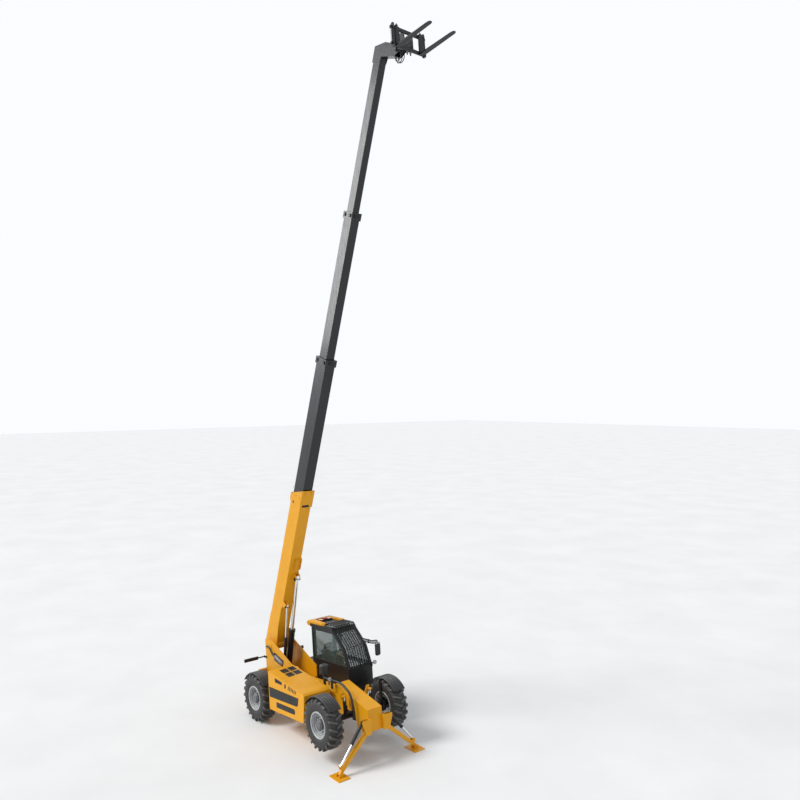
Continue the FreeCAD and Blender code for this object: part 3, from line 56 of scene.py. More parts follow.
# Each wheel's name, its end (1 at the front) and its side (1 on the left)
CORNERS = [(f"{end_name}_{side_name}", end, side)
           for end_name, end in (("front", 1), ("rear", -1))
           for side_name, side in (("left", 1), ("right", -1))]


def at_corners(name):
    return [f"{name}_{corner}" for corner, _, _ in CORNERS]


# ---- materials ----

DUST = (0.42, 0.38, 0.32, 1)
NOISE_LOW, NOISE_HIGH = 0.3, 0.7  # nearly all noise lies between these
# Scale, detail and roughness of the noise in settled dust, in the film all over, and in gloss
SPOTS, FILM, SMEARS = (9.0, 6.0, 0.7), (26.0, 5.0, 0.75), (14.0, 4.0)
SPOTS_LOW = 0.15
FILM_SHARE = 0.5
GRAIN_DETAIL, GRAIN_DEPTH = 2.0, 0.01
COAT_ROUGHNESS = 0.12
BEVEL_SAMPLES = 4


def new_material(name):
    material = bpy.data.materials.new(name)
    material.use_nodes = True
    tree = material.node_tree
    return material, tree, tree.nodes["Principled BSDF"]


def settle(node, values):
    """Set values on a node's own sockets."""
    for socket, value in values.items():
        node.inputs[socket].default_value = value


def supply(tree, socket, value):
    """Link a socket to another one, or set a plain value on it."""
    if isinstance(value, bpy.types.NodeSocket):
        tree.links.new(value, socket)
    else:
        socket.default_value = value


def noise(tree, scale, detail=3.0, roughness=0.55, stretch=(1, 1, 1)):
    place = tree.nodes.new("ShaderNodeTexCoord")
    mapping = tree.nodes.new("ShaderNodeMapping")
    settle(mapping, {"Scale": stretch})
    tree.links.new(place.outputs["Object"], mapping.inputs["Vector"])
    node = tree.nodes.new("ShaderNodeTexNoise")
    settle(node, {"Scale": scale, "Detail": detail, "Roughness": roughness})
    tree.links.new(mapping.outputs["Vector"], node.inputs["Vector"])
    return node.outputs["Fac"]


def ramp(tree, value, low, high):
    """Spread noise between two values."""
    node = tree.nodes.new("ShaderNodeMapRange")
    settle(node, {"From Min": NOISE_LOW, "From Max": NOISE_HIGH, "To Min": low, "To Max": high})
    tree.links.new(value, node.inputs["Value"])
    return node.outputs["Result"]


def mixed(tree, factor, first, second):
    node = tree.nodes.new("ShaderNodeMix")
    node.data_type = "RGBA"
    for socket, value in (("Factor", factor), ("A", first), ("B", second)):
        supply(tree, node.inputs[socket], value)
    return node.outputs["Result"]


def times(tree, first, second):
    """A product, kept between 0 and 1."""
    node = tree.nodes.new("ShaderNodeMath")
    node.operation, node.use_clamp = "MULTIPLY", True
    supply(tree, node.inputs[0], first)
    supply(tree, node.inputs[1], second)
    return node.outputs["Value"]


def upward(tree):
    """How far a face looks up, from 0 to 1."""
    place = tree.nodes.new("ShaderNodeNewGeometry")
    split = tree.nodes.new("ShaderNodeSeparateXYZ")
    tree.links.new(place.outputs["Normal"], split.inputs["Vector"])
    return times(tree, split.outputs["Z"], 1.0)


def surface(name, colour, second, rough, metallic=0.0, patch=2.2, grain=140.0, bump=0.02, dust=0.0,
            coat=0.0, stretch=(1, 1, 1), bevel=0.004, shine=0.5):
    """A weathered surface: two tones, uneven gloss, fine grain, dust on what looks up."""
    material, tree, shader = new_material(name)
    tones = mixed(tree, ramp(tree, noise(tree, patch, stretch=stretch), 0.0, 1.0),
                  (*colour, 1), (*second, 1))
    if dust:
        spots = ramp(tree, noise(tree, *SPOTS), SPOTS_LOW, 1.0)
        tones = mixed(tree, times(tree, times(tree, spots, upward(tree)), dust), tones, DUST)
        film = ramp(tree, noise(tree, *FILM), 0.0, dust * FILM_SHARE)
        tones = mixed(tree, film, tones, DUST)
    tree.links.new(tones, shader.inputs["Base Color"])
    tree.links.new(ramp(tree, noise(tree, *SMEARS, stretch=stretch), *rough),
                   shader.inputs["Roughness"])
    settle(shader, {"Metallic": metallic, "Specular IOR Level": shine, "Coat Weight": coat,
                    "Coat Roughness": COAT_ROUGHNESS})
    height = tree.nodes.new("ShaderNodeBump")
    settle(height, {"Strength": bump, "Distance": GRAIN_DEPTH})
    tree.links.new(noise(tree, grain, GRAIN_DETAIL, stretch=stretch), height.inputs["Height"])
    soft = tree.nodes.new("ShaderNodeBevel")
    soft.samples = BEVEL_SAMPLES
    settle(soft, {"Radius": bevel})
    tree.links.new(soft.outputs["Normal"], height.inputs["Normal"])
    tree.links.new(height.outputs["Normal"], shader.inputs["Normal"])
    return material


def glazing():
    """Tinted cab glass that shows the seat behind it."""
    material, tree, shader = new_material("cab_glass")
    tint = mixed(tree, ramp(tree, noise(tree, 1.6), 0.0, 1.0), (0.035, 0.085, 0.075, 1),
                 (0.055, 0.115, 0.10, 1))
    tree.links.new(tint, shader.inputs["Base Color"])
    tree.links.new(ramp(tree, noise(tree, 8.0), 0.02, 0.06), shader.inputs["Roughness"])
    settle(shader, {"IOR": 1.7, "Alpha": 0.40, "Coat Weight": 0.8, "Coat Roughness": 0.02})
    return material


YELLOW = surface("yellow_paint", (0.80, 0.365, 0.004), (0.74, 0.33, 0.003), (0.36, 0.52),
                 coat=0.04, dust=0.02, bump=0.012, shine=0.28)
BLACK = surface("black_paint", (0.006, 0.0065, 0.007), (0.010, 0.0105, 0.0115), (0.30, 0.46),
                coat=0.05, dust=0.02, bump=0.012, shine=0.3)
BOOM_BLACK = surface("boom_black", (0.005, 0.0058, 0.0072), (0.009, 0.0102, 0.0125),
                     (0.26, 0.42), dust=0.015, bump=0.006, stretch=(1, 1, 0.25), shine=0.36,
                     coat=0.22)
TYRE = surface("tyre_rubber", (0.010, 0.010, 0.011), (0.019, 0.019, 0.019), (0.50, 0.75),
               patch=6.0, grain=260.0, bump=0.08, dust=0.07, bevel=0.007)
# The lugs' rubber is painted lighter than the same rubber in the tyre: a painted highlight on the
# lugs.
LUG_PAINTED_HIGHLIGHT = surface("tyre_lug_painted_highlight", (0.042, 0.042, 0.043), (0.066, 0.066, 0.065), (0.42, 0.62),
              patch=6.0, grain=260.0, bump=0.05, dust=0.10, bevel=0.008, shine=0.6)
RIM = surface("rim_silver", (0.50, 0.51, 0.52), (0.42, 0.43, 0.44), (0.28, 0.44), metallic=0.2,
              dust=0.06)
HUB = surface("hub_grey", (0.11, 0.115, 0.12), (0.16, 0.165, 0.17), (0.35, 0.55), metallic=0.4,
              dust=0.1)
GUARD = surface("guard_plastic", (0.007, 0.007, 0.008), (0.012, 0.012, 0.013), (0.28, 0.42),
                grain=420.0, bump=0.03, dust=0.03, shine=0.45)
HATCH = surface("roof_glass", (0.16, 0.20, 0.20), (0.22, 0.26, 0.26), (0.05, 0.12), coat=0.8,
                bump=0.002)
CHROME = surface("rod_chrome", (0.80, 0.81, 0.83), (0.70, 0.71, 0.74), (0.08, 0.2),
                 metallic=1.0, grain=60.0, bump=0.004, stretch=(1, 1, 0.05))
STEEL = surface("dark_steel", (0.09, 0.09, 0.095), (0.13, 0.13, 0.13), (0.3, 0.5), metallic=0.8)
ENGINE = surface("engine_metal", (0.10, 0.10, 0.105), (0.15, 0.145, 0.14), (0.45, 0.7),
                 metallic=0.4, dust=0.2)
FABRIC = surface("seat_fabric", (0.16, 0.21, 0.27), (0.20, 0.25, 0.32), (0.75, 0.92),
                 grain=700.0, bump=0.25, dust=0.03)
RUBBER = surface("hose_rubber", (0.012, 0.012, 0.013), (0.02, 0.02, 0.021), (0.45, 0.65),
                 grain=300.0, bump=0.06)
RED = surface("lamp_red", (0.55, 0.02, 0.012), (0.42, 0.012, 0.01), (0.12, 0.25), coat=0.6)
AMBER = surface("lamp_amber", (0.85, 0.22, 0.01), (0.75, 0.17, 0.01), (0.12, 0.25), coat=0.6)
GLASS = glazing()

LOOKS = {
    YELLOW: ["chassis", "boom_tower", "counterweight", "stabiliser_brackets", "outriggers",
             "outer_boom", "engine_hood", "engine_pod", "stabiliser_leg_left",
             "stabiliser_leg_right", "stabiliser_pad_left", "stabiliser_pad_right"],
    BOOM_BLACK: ["boom_section_2", "boom_section_3", "boom_section_4"],
    BLACK: ["fork_carriage", "forks", "front_axle", "rear_axle", "cab_tub", "cab_right_side",
            "cab_rear", "cab_windscreen_frame", "cab_roof", "cab_door", "tilt_cylinder_barrel",
            "stabiliser_cylinder_left_barrel", "stabiliser_cylinder_right_barrel",
            "lift_cylinder_barrel", "compensation_cylinder_barrel", *at_corners("knuckle")],
    TYRE: at_corners("tyre"),
    RIM: ["mirror", *at_corners("rim")],
    GUARD: ["air_cleaner", "rear_lamps", "steering_wheel", *at_corners("mudguard")],
    CHROME: ["lift_cylinder_rod", "compensation_cylinder_rod", "tilt_cylinder_rod",
             "stabiliser_cylinder_left_rod", "stabiliser_cylinder_right_rod"],
    FABRIC: ["seat"],
    ENGINE: ["engine"],
}
for material, names in LOOKS.items():
    for name in names:
        NODES[name].data.materials.clear()
        NODES[name].data.materials.append(material)


# ---- shapes ----

def lay(outline, height, axis):
    """Points of a flat outline, at a height along an axis."""
    if axis == "x":
        return [(height, a, b) for a, b in outline]
    if axis == "y":
        return [(a, height, b) for a, b in outline]
    return [(a, b, height) for a, b in outline]


def square_to(axis):
    """Two unit vectors at right angles to a unit vector and to each other."""
    across = axis.orthogonal().normalized()
    return across, axis.cross(across)


def circle(centre, across, other, radius, sides):
    return [centre + radius * (math.cos(a) * across + math.sin(a) * other)
            for a in (math.tau * k / sides for k in range(sides))]


class Shape:
    """Corners and faces of one piece, put together from lofts."""

    def __init__(self):
        self.points, self.faces = [], []

    def loft(self, rings, closed=False, around=True):
        """Skin over rings of equal count.

        A closed loft joins its last ring to its first; any other has caps. Without around, each
        ring is an open line.
        """
        start, size, count = len(self.points), len(rings[0]), len(rings)
        self.points += [tuple(point) for ring in rings for point in ring]
        for row in range(count if closed else count - 1):
            a, b = start + row * size, start + (row + 1) % count * size
            for i in range(size if around else size - 1):
                j = (i + 1) % size
                self.faces.append((a + i, a + j, b + j, b + i))
        if not closed and around:
            self.faces.append(tuple(start + i for i in range(size)))
            self.faces.append(tuple(start + (count - 1) * size + i for i in range(size)))

    def prism(self, outline, low, high, axis="y"):
        self.loft([lay(outline, height, axis) for height in (low, high)])

    def frame(self, outer, inner, low, high, axis):
        """A flat frame between two outlines."""
        rings = [(outer, low), (outer, high), (inner, high), (inner, low)]
        self.loft([lay(line, height, axis) for line, height in rings], closed=True)

    def block(self, x, y, z):
        self.prism(((x[0], z[0]), (x[1], z[0]), (x[1], z[1]), (x[0], z[1])), *y)

    def tube(self, path, radius, sides=10):
        """A round bar along a path; radius is one number or one for each point."""
        path = [Vector(point) for point in path]
        radii = radius if isinstance(radius, tuple) else [radius] * len(path)
        heading = (path[1] - path[0]).normalized()
        across = heading.orthogonal().normalized()
        rings = []
        for n, point in enumerate(path):
            ahead = (path[min(n + 1, len(path) - 1)] - path[max(n - 1, 0)]).normalized()
            across = (heading.rotation_difference(ahead) @ across).normalized()
            heading = ahead
            rings.append(circle(point, across, ahead.cross(across), radii[n], sides))
        self.loft(rings)

    def turned(self, profile, centre, axis, count=48, closed=True):
        """A profile of (along, radius) turned about an axis; an open one ends on the axis."""
        centre, axis = Vector(centre), Vector(axis).normalized()
        across, other = square_to(axis)
        rings = []
        for k in range(count):
            turn = math.tau * k / count
            out = math.cos(turn) * across + math.sin(turn) * other
            rings.append([centre + along * axis + radius * out for along, radius in profile])
        self.loft(rings, closed=True, around=closed)

    def lathe(self, profile, centre, axis, count):
        """A solid whose profile leaves the axis at one end and comes back to it at the other."""
        self.turned(((profile[0][0], 0.0), *profile, (profile[-1][0], 0.0)), centre, axis, count,
                    closed=False)

    def disc(self, centre, axis, radius, height, count):
        self.lathe(((0.0, radius), (height, radius)), centre, axis, count)

    def nut(self, centre, axis, radius, height, sides=6):
        """A bolt head or nut with a bevelled top."""
        centre, axis = Vector(centre), Vector(axis).normalized()
        across, other = square_to(axis)
        self.loft([circle(centre + along * axis, across, other, size, sides)
                   for along, size in ((0, radius), (0.75 * height, radius),
                                       (height, 0.8 * radius))])

    def build(self, name, material, body, place=MACHINE, sharp=32.0):
        mesh = bpy.data.meshes.new(name)
        mesh.from_pydata([place @ Vector(point) for point in self.points], [], self.faces)
        work = bmesh.new()
        work.from_mesh(mesh)
        bmesh.ops.recalc_face_normals(work, faces=work.faces)
        work.to_mesh(mesh)
        work.free()
        mesh.shade_smooth()
        mesh.set_sharp_from_angle(angle=math.radians(sharp))
        return show(name, mesh, material, body)


def show(name, mesh, material, body):
    """Put a mesh into the scene as one piece that rides on a body."""
    mesh.materials.append(material)
    item = bpy.data.objects.new(name, mesh)
    bpy.context.scene.collection.objects.link(item)
    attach(item, body)
    return item


def rounded(points, bend, steps=5):
    """A path through points, with every inner corner rounded off."""
    points = [Vector(point) for point in points]
    path = [points[0]]
    for before, corner, after in zip(points, points[1:], points[2:]):
        cut = min(bend, (before - corner).length * 0.48, (after - corner).length * 0.48)
        first = corner + (before - corner).normalized() * cut
        last = corner + (after - corner).normalized() * cut
        for k in range(steps + 1):
            s = k / steps
            path.append((1 - s) ** 2 * first + 2 * s * (1 - s) * corner + s ** 2 * last)
    return path + [points[-1]]


def mirrored(low, high, side):
    """A span from low to high on the left, or its mirror image on the right."""
    return sorted((side * low, side * high))


# ---- wheels: smooth tyres with curved lugs, rims and hubs ----

LUGS, TYRE_RADIUS, AXLE_X, TYRE_Y = 20, 0.625, 1.621, 1.015
# Profiles are (along the axle, radius). The tyre's runs from its crown to one bead.
TYRE_HALF = ((0.0, 0.585), (0.08, 0.582), (0.15, 0.572), (0.178, 0.556), (0.193, 0.525),
             (0.2, 0.47), (0.197, 0.40), (0.184, 0.345), (0.165, 0.319))
TYRE_PROFILE = tuple((-along, radius) for along, radius in TYRE_HALF[:0:-1]) + TYRE_HALF
RIM_PROFILE = ((0.056, 0.128), (0.056, 0.246), (0.097, 0.246), (0.101, 0.270), (0.139, 0.270),
               (0.143, 0.294), (0.176, 0.296), (0.181, 0.302), (0.181, 0.326), (0.176, 0.330),
               (0.171, 0.326), (0.168, 0.318), (-0.168, 0.318), (-0.171, 0.326), (-0.176, 0.330),
               (-0.181, 0.326), (-0.181, 0.308), (0.04, 0.308), (0.04, 0.128))
HUB_PROFILE = ((-0.048, 0.062), (-0.048, 0.128), (0.140, 0.128), (0.150, 0.120), (0.152, 0.104),
               (0.166, 0.102), (0.172, 0.094), (0.172, 0.0), (0.092, 0.0), (0.092, 0.062))
# Along a lug: distance from the tyre's middle, share of the sweep, half width, top's radius
LUG_LINE = ((-0.006, 0.0, 0.020, 0.6235), (0.05, 0.26, 0.021, 0.6245), (0.10, 0.53, 0.022, 0.6245),
            (0.15, 0.80, 0.024, 0.6235), (0.184, 0.98, 0.027, 0.620), (0.2005, 1.06, 0.024, 0.590),
            (0.2015, 1.08, 0.016, 0.535))
LUG_SWEEP, LUG_FLARE, LUG_SINK = 0.083, 0.009, 0.02
LUG_FOOT, SHOULDER_TOP, SHOULDER_FOOT = 0.560, 0.6, 0.03
TREAD_RADIUS = 0.61
WHEEL_TURN = PITCH + math.atan2(0.105, 0.6161) - math.pi / LUGS
# Thin black rings where the rim's steps meet, as (along the axle, radius): painted shade in the
# creases between the steps.
RIM_SHADE_LINES = ((0.1005, 0.2695), (0.142, 0.2945), (0.0575, 0.246))
SHADE_LINE_HALF, SHADE_LINE_DEPTH = 0.0015, 0.006
HUB_BOLTS, HUB_BOLT_CIRCLE, HUB_FACE = 8, 0.112, 0.148
WHEEL_NUTS, NUT_CIRCLE, NUT_FACE, STUD_FACE = 10, 0.185, 0.055, 0.077
GUARD_EDGE = math.radians(20)


def wheel_place(end, side):
    return (MACHINE @ Matrix.Translation((end * AXLE_X, side * TYRE_Y, TYRE_RADIUS))
            @ Matrix.Rotation(0 if side > 0 else math.pi, 4, "Z")
            @ Matrix.Rotation(side * WHEEL_TURN, 4, "Y"))


def on_wheel(number, count, circle_radius, along):
    """A place on a circle of bolts in the wheel's face."""
    turn = math.tau * number / count
    return circle_radius * math.cos(turn), along, circle_radius * math.sin(turn)


def add_lug(lugs, middle, row, side):
    """One lug, swept from the middle of the tyre over its shoulder."""
    rings = []
    for along, share, half, top in LUG_LINE:
        drift = -side * LUG_SWEEP * share
        foot = LUG_FOOT if top > SHOULDER_TOP else top - SHOULDER_FOOT
        section = ((drift - half - LUG_FLARE, foot), (drift - half, top), (drift + half, top),
                   (drift + half + LUG_FLARE, foot))
        rings.append([(radius * math.sin(middle + arc / TREAD_RADIUS),
                       row * (along if radius > foot else along - LUG_SINK),
                       radius * math.cos(middle + arc / TREAD_RADIUS)) for arc, radius in section])
    lugs.loft(rings)


def make_wheel(corner, end, side):
    centre, place, body = (0, 0, 0), wheel_place(end, side), f"wheel_{corner}"
    lugs, tyre = Shape(), Shape()
    for row, stagger in ((1, 0.0), (-1, math.pi / LUGS)):
        for number in range(LUGS):
            add_lug(lugs, math.tau * number / LUGS + stagger, row, side)
    # The lugs take the lighter rubber, a painted highlight.
    lugs.build(f"tyre_{corner}_lugs", LUG_PAINTED_HIGHLIGHT, body, place, 40)
    tyre.turned(TYRE_PROFILE, centre, Y_AXIS, 80)
    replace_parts(tyre.build(f"tyre_{corner}_rubber", TYRE, body, place, 40), f"tyre_{corner}")
    rim, shade_lines, hub, nuts = Shape(), Shape(), Shape(), Shape()
    rim.turned(RIM_PROFILE, centre, Y_AXIS, 72)
    valve = ((0.262, 0.118, 0.0), (0.262, 0.15, 0.0), (0.262, 0.156, 0.0))
    rim.tube(valve, (0.006, 0.005, 0.003), 8)
    # Painted shade: a thin black ring in each step of the rim.
    for along, radius in RIM_SHADE_LINES:
        inner = radius - SHADE_LINE_DEPTH
        shade_lines.turned(((-SHADE_LINE_HALF, inner), (-SHADE_LINE_HALF, radius), (SHADE_LINE_HALF, radius),
                      (SHADE_LINE_HALF, inner)), (0, along, 0), Y_AXIS, 48)
    hub.turned(HUB_PROFILE, centre, Y_AXIS, 48)
    for k in range(HUB_BOLTS):
        hub.nut(on_wheel(k, HUB_BOLTS, HUB_BOLT_CIRCLE, HUB_FACE), Y_AXIS, 0.009, 0.008)
    for k in range(WHEEL_NUTS):
        foot = on_wheel(k, WHEEL_NUTS, NUT_CIRCLE, NUT_FACE)
        nuts.disc(foot, Y_AXIS, 0.021, 0.004, 16)
        nuts.nut(foot, Y_AXIS, 0.0155, 0.022)
        nuts.nut(on_wheel(k, WHEEL_NUTS, NUT_CIRCLE, STUD_FACE), Y_AXIS, 0.008, 0.012, 10)
    shade_lines.build(f"rim_seams_{corner}", GUARD, body, place)
    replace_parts(rim.build(f"rim_{corner}_dish", RIM, body, place, 34), f"rim_{corner}")
    hub.build(f"hub_{corner}", HUB, body, place)
    nuts.build(f"wheel_nuts_{corner}", STEEL, body, place)


for corner, end, side in CORNERS:
    make_wheel(corner, end, side)
for name in at_corners("mudguard"):
    NODES[name].data.shade_smooth()
    NODES[name].data.set_sharp_from_angle(angle=GUARD_EDGE)


# ---- cab: glass in its seals, seat ----

REAR, NOSE, SILL, TOP, ROOF_FRONT = -0.90, 0.85, 1.48, 2.40, 0.18
BEND = (0.64, 1.98)
RIGHT_PLANE, REAR_PLANE, LEFT_PLANE = 0.366, -0.882, 1.126
PANE = 0.006


def side_outline(inset):
    """The right window's outline, an inset inside the cab's own."""
    return ((REAR + inset, SILL + inset), (NOSE - 1.4 * inset, SILL + inset),
            (BEND[0] - 1.2 * inset, BEND[1]), (ROOF_FRONT - 0.4 * inset, TOP - inset),
            (REAR + inset, TOP - inset))


def rectangle(a0, a1, b0, b1):
    return ((a0, b0), (a1, b0), (a1, b1), (a0, b1))


def shrunk(outline, inset):
    """An outline moved towards its middle by about an inset."""
    middle = sum((Vector(point) for point in outline), Vector((0, 0))) / len(outline)
    moved = []
    for point in outline:
        outward = Vector([math.copysign(min(1.0, 3 * abs(a - m)), a - m)
                          for a, m in zip(point, middle)])
        moved.append(tuple(Vector(point) - inset * outward))
    return tuple(moved)


DOOR_HOLE = ((-0.58, 1.51), (0.718, 1.51), (0.52, 1.98), (0.12, 2.34), (-0.58, 2.34))
WINDOWS = (
    ("right", side_outline(0.06), RIGHT_PLANE, "y", "chassis"),
    ("rear", rectangle(0.455, 1.045, 1.54, 2.34), REAR_PLANE, "x", "chassis"),
    ("quarter", rectangle(-0.855, -0.70, 1.54, 2.34), LEFT_PLANE, "y", "chassis"),
    ("door_upper", DOOR_HOLE, LEFT_PLANE, "y", "door"),
    ("door_lower", rectangle(-0.52, 0.64, 1.0, 1.42), LEFT_PLANE, "y", "door"),
)
for name, outline, at, axis, body in WINDOWS:
    pane, seal = Shape(), Shape()
    pane.prism(shrunk(outline, 0.004), at, at + PANE, axis)
    seal.frame(shrunk(outline, -0.001), shrunk(outline, 0.016), at - 0.007, at + 0.013, axis)
    pane.build(f"glass_{name}", GLASS, body)
    seal.build(f"seal_{name}", RUBBER, body)


def screen_strip(outer, inner):
    """The windscreen's bent section between two distances behind its outer face."""
    lines = [((NOSE - 0.0126 - back, 1.51), (BEND[0] - back, BEND[1]), (0.246 - back, 2.34))
             for back in (outer, inner)]
    return lines[0] + lines[1][::-1]


screen, seal = Shape(), Shape()
screen.prism(screen_strip(0.018, 0.018 + PANE), 0.427, 1.073)
screen.build("glass_windscreen", GLASS, "chassis")
for low, high in ((0.423, 0.437), (1.063, 1.077)):
    seal.prism(screen_strip(0.010, 0.030), low, high)
for x, z in ((0.8145, 1.512), (0.2375, 2.328)):
    seal.block((x - 0.014, x + 0.010), (0.423, 1.077), (z, z + 0.012))
seal.build("seal_windscreen", RUBBER, "chassis")

CUSHION_CUTS = 11
CHANNEL_DEPTH, CHANNEL_SHARPNESS = 0.16, 14


def cushion(name, size, place, channels=0):
    """A stuffed pad with rounded edges, a crowned face and sewn channels across it."""
    work = bmesh.new()
    bmesh.ops.create_cube(work, size=2.0)
    bmesh.ops.subdivide_edges(work, edges=work.edges[:], cuts=CUSHION_CUTS, use_grid_fill=True)
    for vertex in work.verts:
        soft = Vector([math.copysign(abs(c) ** 0.9, c) for c in vertex.co])
        spot = soft / max(1.0, sum(abs(c) ** 5 for c in soft) ** 0.2)
        crown = (1 - spot.x ** 2) * (1 - spot.y ** 2)
        spot.z *= 0.80 + 0.20 * crown
        if channels and spot.z > 0:
            seam = max(0.0, math.cos(math.pi * channels * spot.x)) ** CHANNEL_SHARPNESS
            spot.z -= CHANNEL_DEPTH * seam * (1 - spot.y ** 6)
        vertex.co = [a * length / 2 for a, length in zip(spot, size)]
    mesh = bpy.data.meshes.new(name)
    work.to_mesh(mesh)
    work.free()
    mesh.transform(MACHINE @ place)
    mesh.shade_smooth()
    item = show(name, mesh, FABRIC, "chassis")
    return item


SEAT = Matrix.Translation((-0.45, 0.75, 1.0))
BELLOWS = 0.035  # height of one fold under the seat


def standing(x, z):
    """A place on the seat for a pad that leans back a little, with its face forward."""
    return (SEAT @ Matrix.Translation((x, 0, z)) @ Matrix.Rotation(math.radians(97), 4, "Y")
            @ Matrix.Rotation(math.pi, 4, "X"))


seat_base = Shape()
seat_base.block((-0.20, 0.20), (-0.17, 0.17), (-0.19, -0.14))
for step in range(5):
    x, y = 0.17 + 0.012 * (step % 2), 0.15 + 0.012 * (step % 2)
    seat_base.block((-x, x), (-y, y), (-0.14 + BELLOWS * step, -0.105 + BELLOWS * step))
seat_base.block((-0.22, 0.24), (-0.20, 0.20), (0.035, 0.065))
seat_base.prism(((-0.23, 0.05), (-0.20, 0.05), (-0.285, 0.72), (-0.315, 0.72)), -0.19, 0.19)
for y in (-0.265, 0.265):
    seat_base.tube(rounded(((-0.25, y * 0.9, 0.18), (-0.25, y, 0.20), (-0.24, y, 0.30),
                            (0.08, y, 0.31)), 0.04), 0.016)
    seat_base.tube(((-0.20, y, 0.315), (0.08, y, 0.322), (0.10, y, 0.31)), (0.026, 0.026, 0.015))
seat_base.build("seat_base", GUARD, "chassis", MACHINE @ SEAT)
pad = cushion("seat_cushion", (0.50, 0.48, 0.13), SEAT @ Matrix.Translation((0.03, 0, 0.115)), 2)
cushion("seat_back", (0.60, 0.46, 0.11), standing(-0.225, 0.45), 3)
cushion("seat_headrest", (0.17, 0.27, 0.09), standing(-0.268, 0.80))
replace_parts(pad, "seat")


# ---- cab roof: cowl with its well and lamps, hatch, guard bars over the screen ----

COWL_SIDE = ((-0.9703, 2.4003), (-1.105, 2.41), (-1.165, 2.46), (-1.150, 2.502), (-0.345, 2.502),
             (-0.33, 2.4803), (-0.9703, 2.4803))
COWL_TOP = ((-1.15, 0.365), (-0.352, 0.365), (-0.352, 0.50), (-0.56, 0.50), (-1.0, 0.56),
            (-1.0, 0.94), (-0.56, 1.0), (-0.352, 1.0), (-0.352, 1.135), (-1.15, 1.135))


def cowl_ring(height, rear, front, sides):
    """The cowl's rim at a height, with its outer edges drawn in."""
    ring = []
    for x, y in COWL_TOP:
        inward = rear if x < -1.1 else -front if x > -0.4 else 0
        aside = sides if y < 0.4 else -sides if y > 1.1 else 0
        ring.append((x + inward, y + aside, height))
    return ring


cowl = Shape()
cowl.prism(COWL_SIDE, 0.365, 1.135)
cowl.loft([cowl_ring(2.500, 0, 0, 0), cowl_ring(2.535, 0.038, 0.03, 0),
           cowl_ring(2.545, 0.052, 0.055, 0.012)])
cowl.build("cab_roof_cowl", YELLOW, "chassis")
BEACON = (-0.79, 0.75)
well, cap, lenses = Shape(), Shape(), Shape()
well.prism(((-0.995, 0.565), (-0.56, 0.505), (-0.38, 0.505), (-0.38, 0.995), (-0.56, 0.995),
            (-0.995, 0.935)), 2.502, 2.505, "z")
for low, high in ((0.552, 0.678), (0.822, 0.948)):
    well.block((-0.87, -0.71), (low, high), (2.504, 2.553))
well.block((-0.82, -0.76), (0.60, 0.90), (2.504, 2.522))
well.turned(((0.0, 0.052), (0.034, 0.052), (0.038, 0.048), (0.038, 0.0)), (*BEACON, 2.52), UP,
            28, closed=False)
well.build("roof_well", BLACK, "chassis")
cap.turned(((0.0, 0.046), (0.028, 0.044), (0.038, 0.036), (0.042, 0.0)), (*BEACON, 2.558), UP,
           28, closed=False)
cap.build("beacon_cap", RED, "chassis")
for low, high in ((0.56, 0.67), (0.83, 0.94)):
    lenses.block((-0.862, -0.718), (low, high), (2.5525, 2.557))
lenses.build("roof_lamp_lenses", AMBER, "chassis")
hatch = Shape()
hatch.prism(rectangle(-0.26, 0.19, 0.44, 1.06), 2.4795, 2.486, "z")
hatch.build("roof_hatch", HATCH, "chassis")
BARS, BAR_PITCH = 9, 0.07375
bars = Shape()
for k in range(BARS):
    y = 0.455 + BAR_PITCH * k
    bars.tube(rounded(((-0.31, y, 2.482), (-0.29, y, 2.541), (0.20, y, 2.541), (0.278, y, 2.465),
                       (0.292, y, 2.377), (0.695, y, 2.01), (0.893, y, 1.50)), 0.04, 3),
              0.0125, 8)
for x, z in ((-0.28, 2.512), (-0.02, 2.523), (0.185, 2.522)):
    bars.tube(((x, 0.42, z), (x, 1.08, z)), 0.014, 10)
bars.block((0.848, 0.902), (0.43, 1.07), (1.455, 1.485))
for y in (0.43, 0.75, 1.07):
    bars.block((0.845, 0.885), (y - 0.014, y + 0.014), (1.44, 1.475))
bars.tube(rounded(((0.676, 0.43, 2.0), (0.690, 0.43, 2.008), (0.690, 1.07, 2.008),
                   (0.676, 1.07, 2.0)), 0.01, 2), 0.009, 8)
bars.build("screen_guard", BLACK, "chassis")


# ---- lamps: ring lamp by the door, work lamp over the nose, rear lamp lenses ----

RING_LAMP, WORK_LAMP = (0.90, 1.18, 1.518), (1.0, -0.40, 1.445)
lamp = Shape()
lamp.block((0.850, 0.930), (1.080, 1.104), (1.430, 1.454))
lamp.block((0.906, 0.930), (1.080, 1.104), (1.430, 1.530))
lamp.block((0.906, 0.930), (1.080, 1.140), (1.506, 1.530))
lamp.turned(((0.0, 0.0), (0.0, 0.045), (0.010, 0.055), (0.040, 0.055)), RING_LAMP, X_AXIS, 32,
            closed=False)
lamp.build("ring_lamp_body", BLACK, "chassis")
lenses = Shape()
lenses.turned(((0.040, 0.0), (0.040, 0.056), (0.046, 0.056), (0.050, 0.050), (0.044, 0.045),
               (0.043, 0.0)), RING_LAMP, X_AXIS, 32, closed=False)
lenses.lathe(((0.055, 0.053), (0.061, 0.053), (0.065, 0.047), (0.060, 0.042)), WORK_LAMP,
             X_AXIS, 32)
lenses.build("lamp_lenses", RIM, "chassis")
lamp = Shape()
lamp.lathe(((0.0, 0.038), (0.020, 0.052), (0.055, 0.052)), WORK_LAMP, X_AXIS, 32)
lamp.block((1.0, 1.03), (-0.412, -0.388), (1.30, 1.41))
lamp.build("work_lamp_body", BLACK, "chassis")
for colour, low, high in ((RED, 0.60, 0.76), (AMBER, 0.78, 0.86), (RIM, 0.88, 0.96)):
    lenses = Shape()
    for side in (-1, 1):
        lenses.block((-2.516, -2.508), mirrored(low, high, side), (1.422, 1.478))
    lenses.build("rear_lenses_" + colour.name, colour, "chassis")


# ---- vents, louvres and panels on the engine side ----

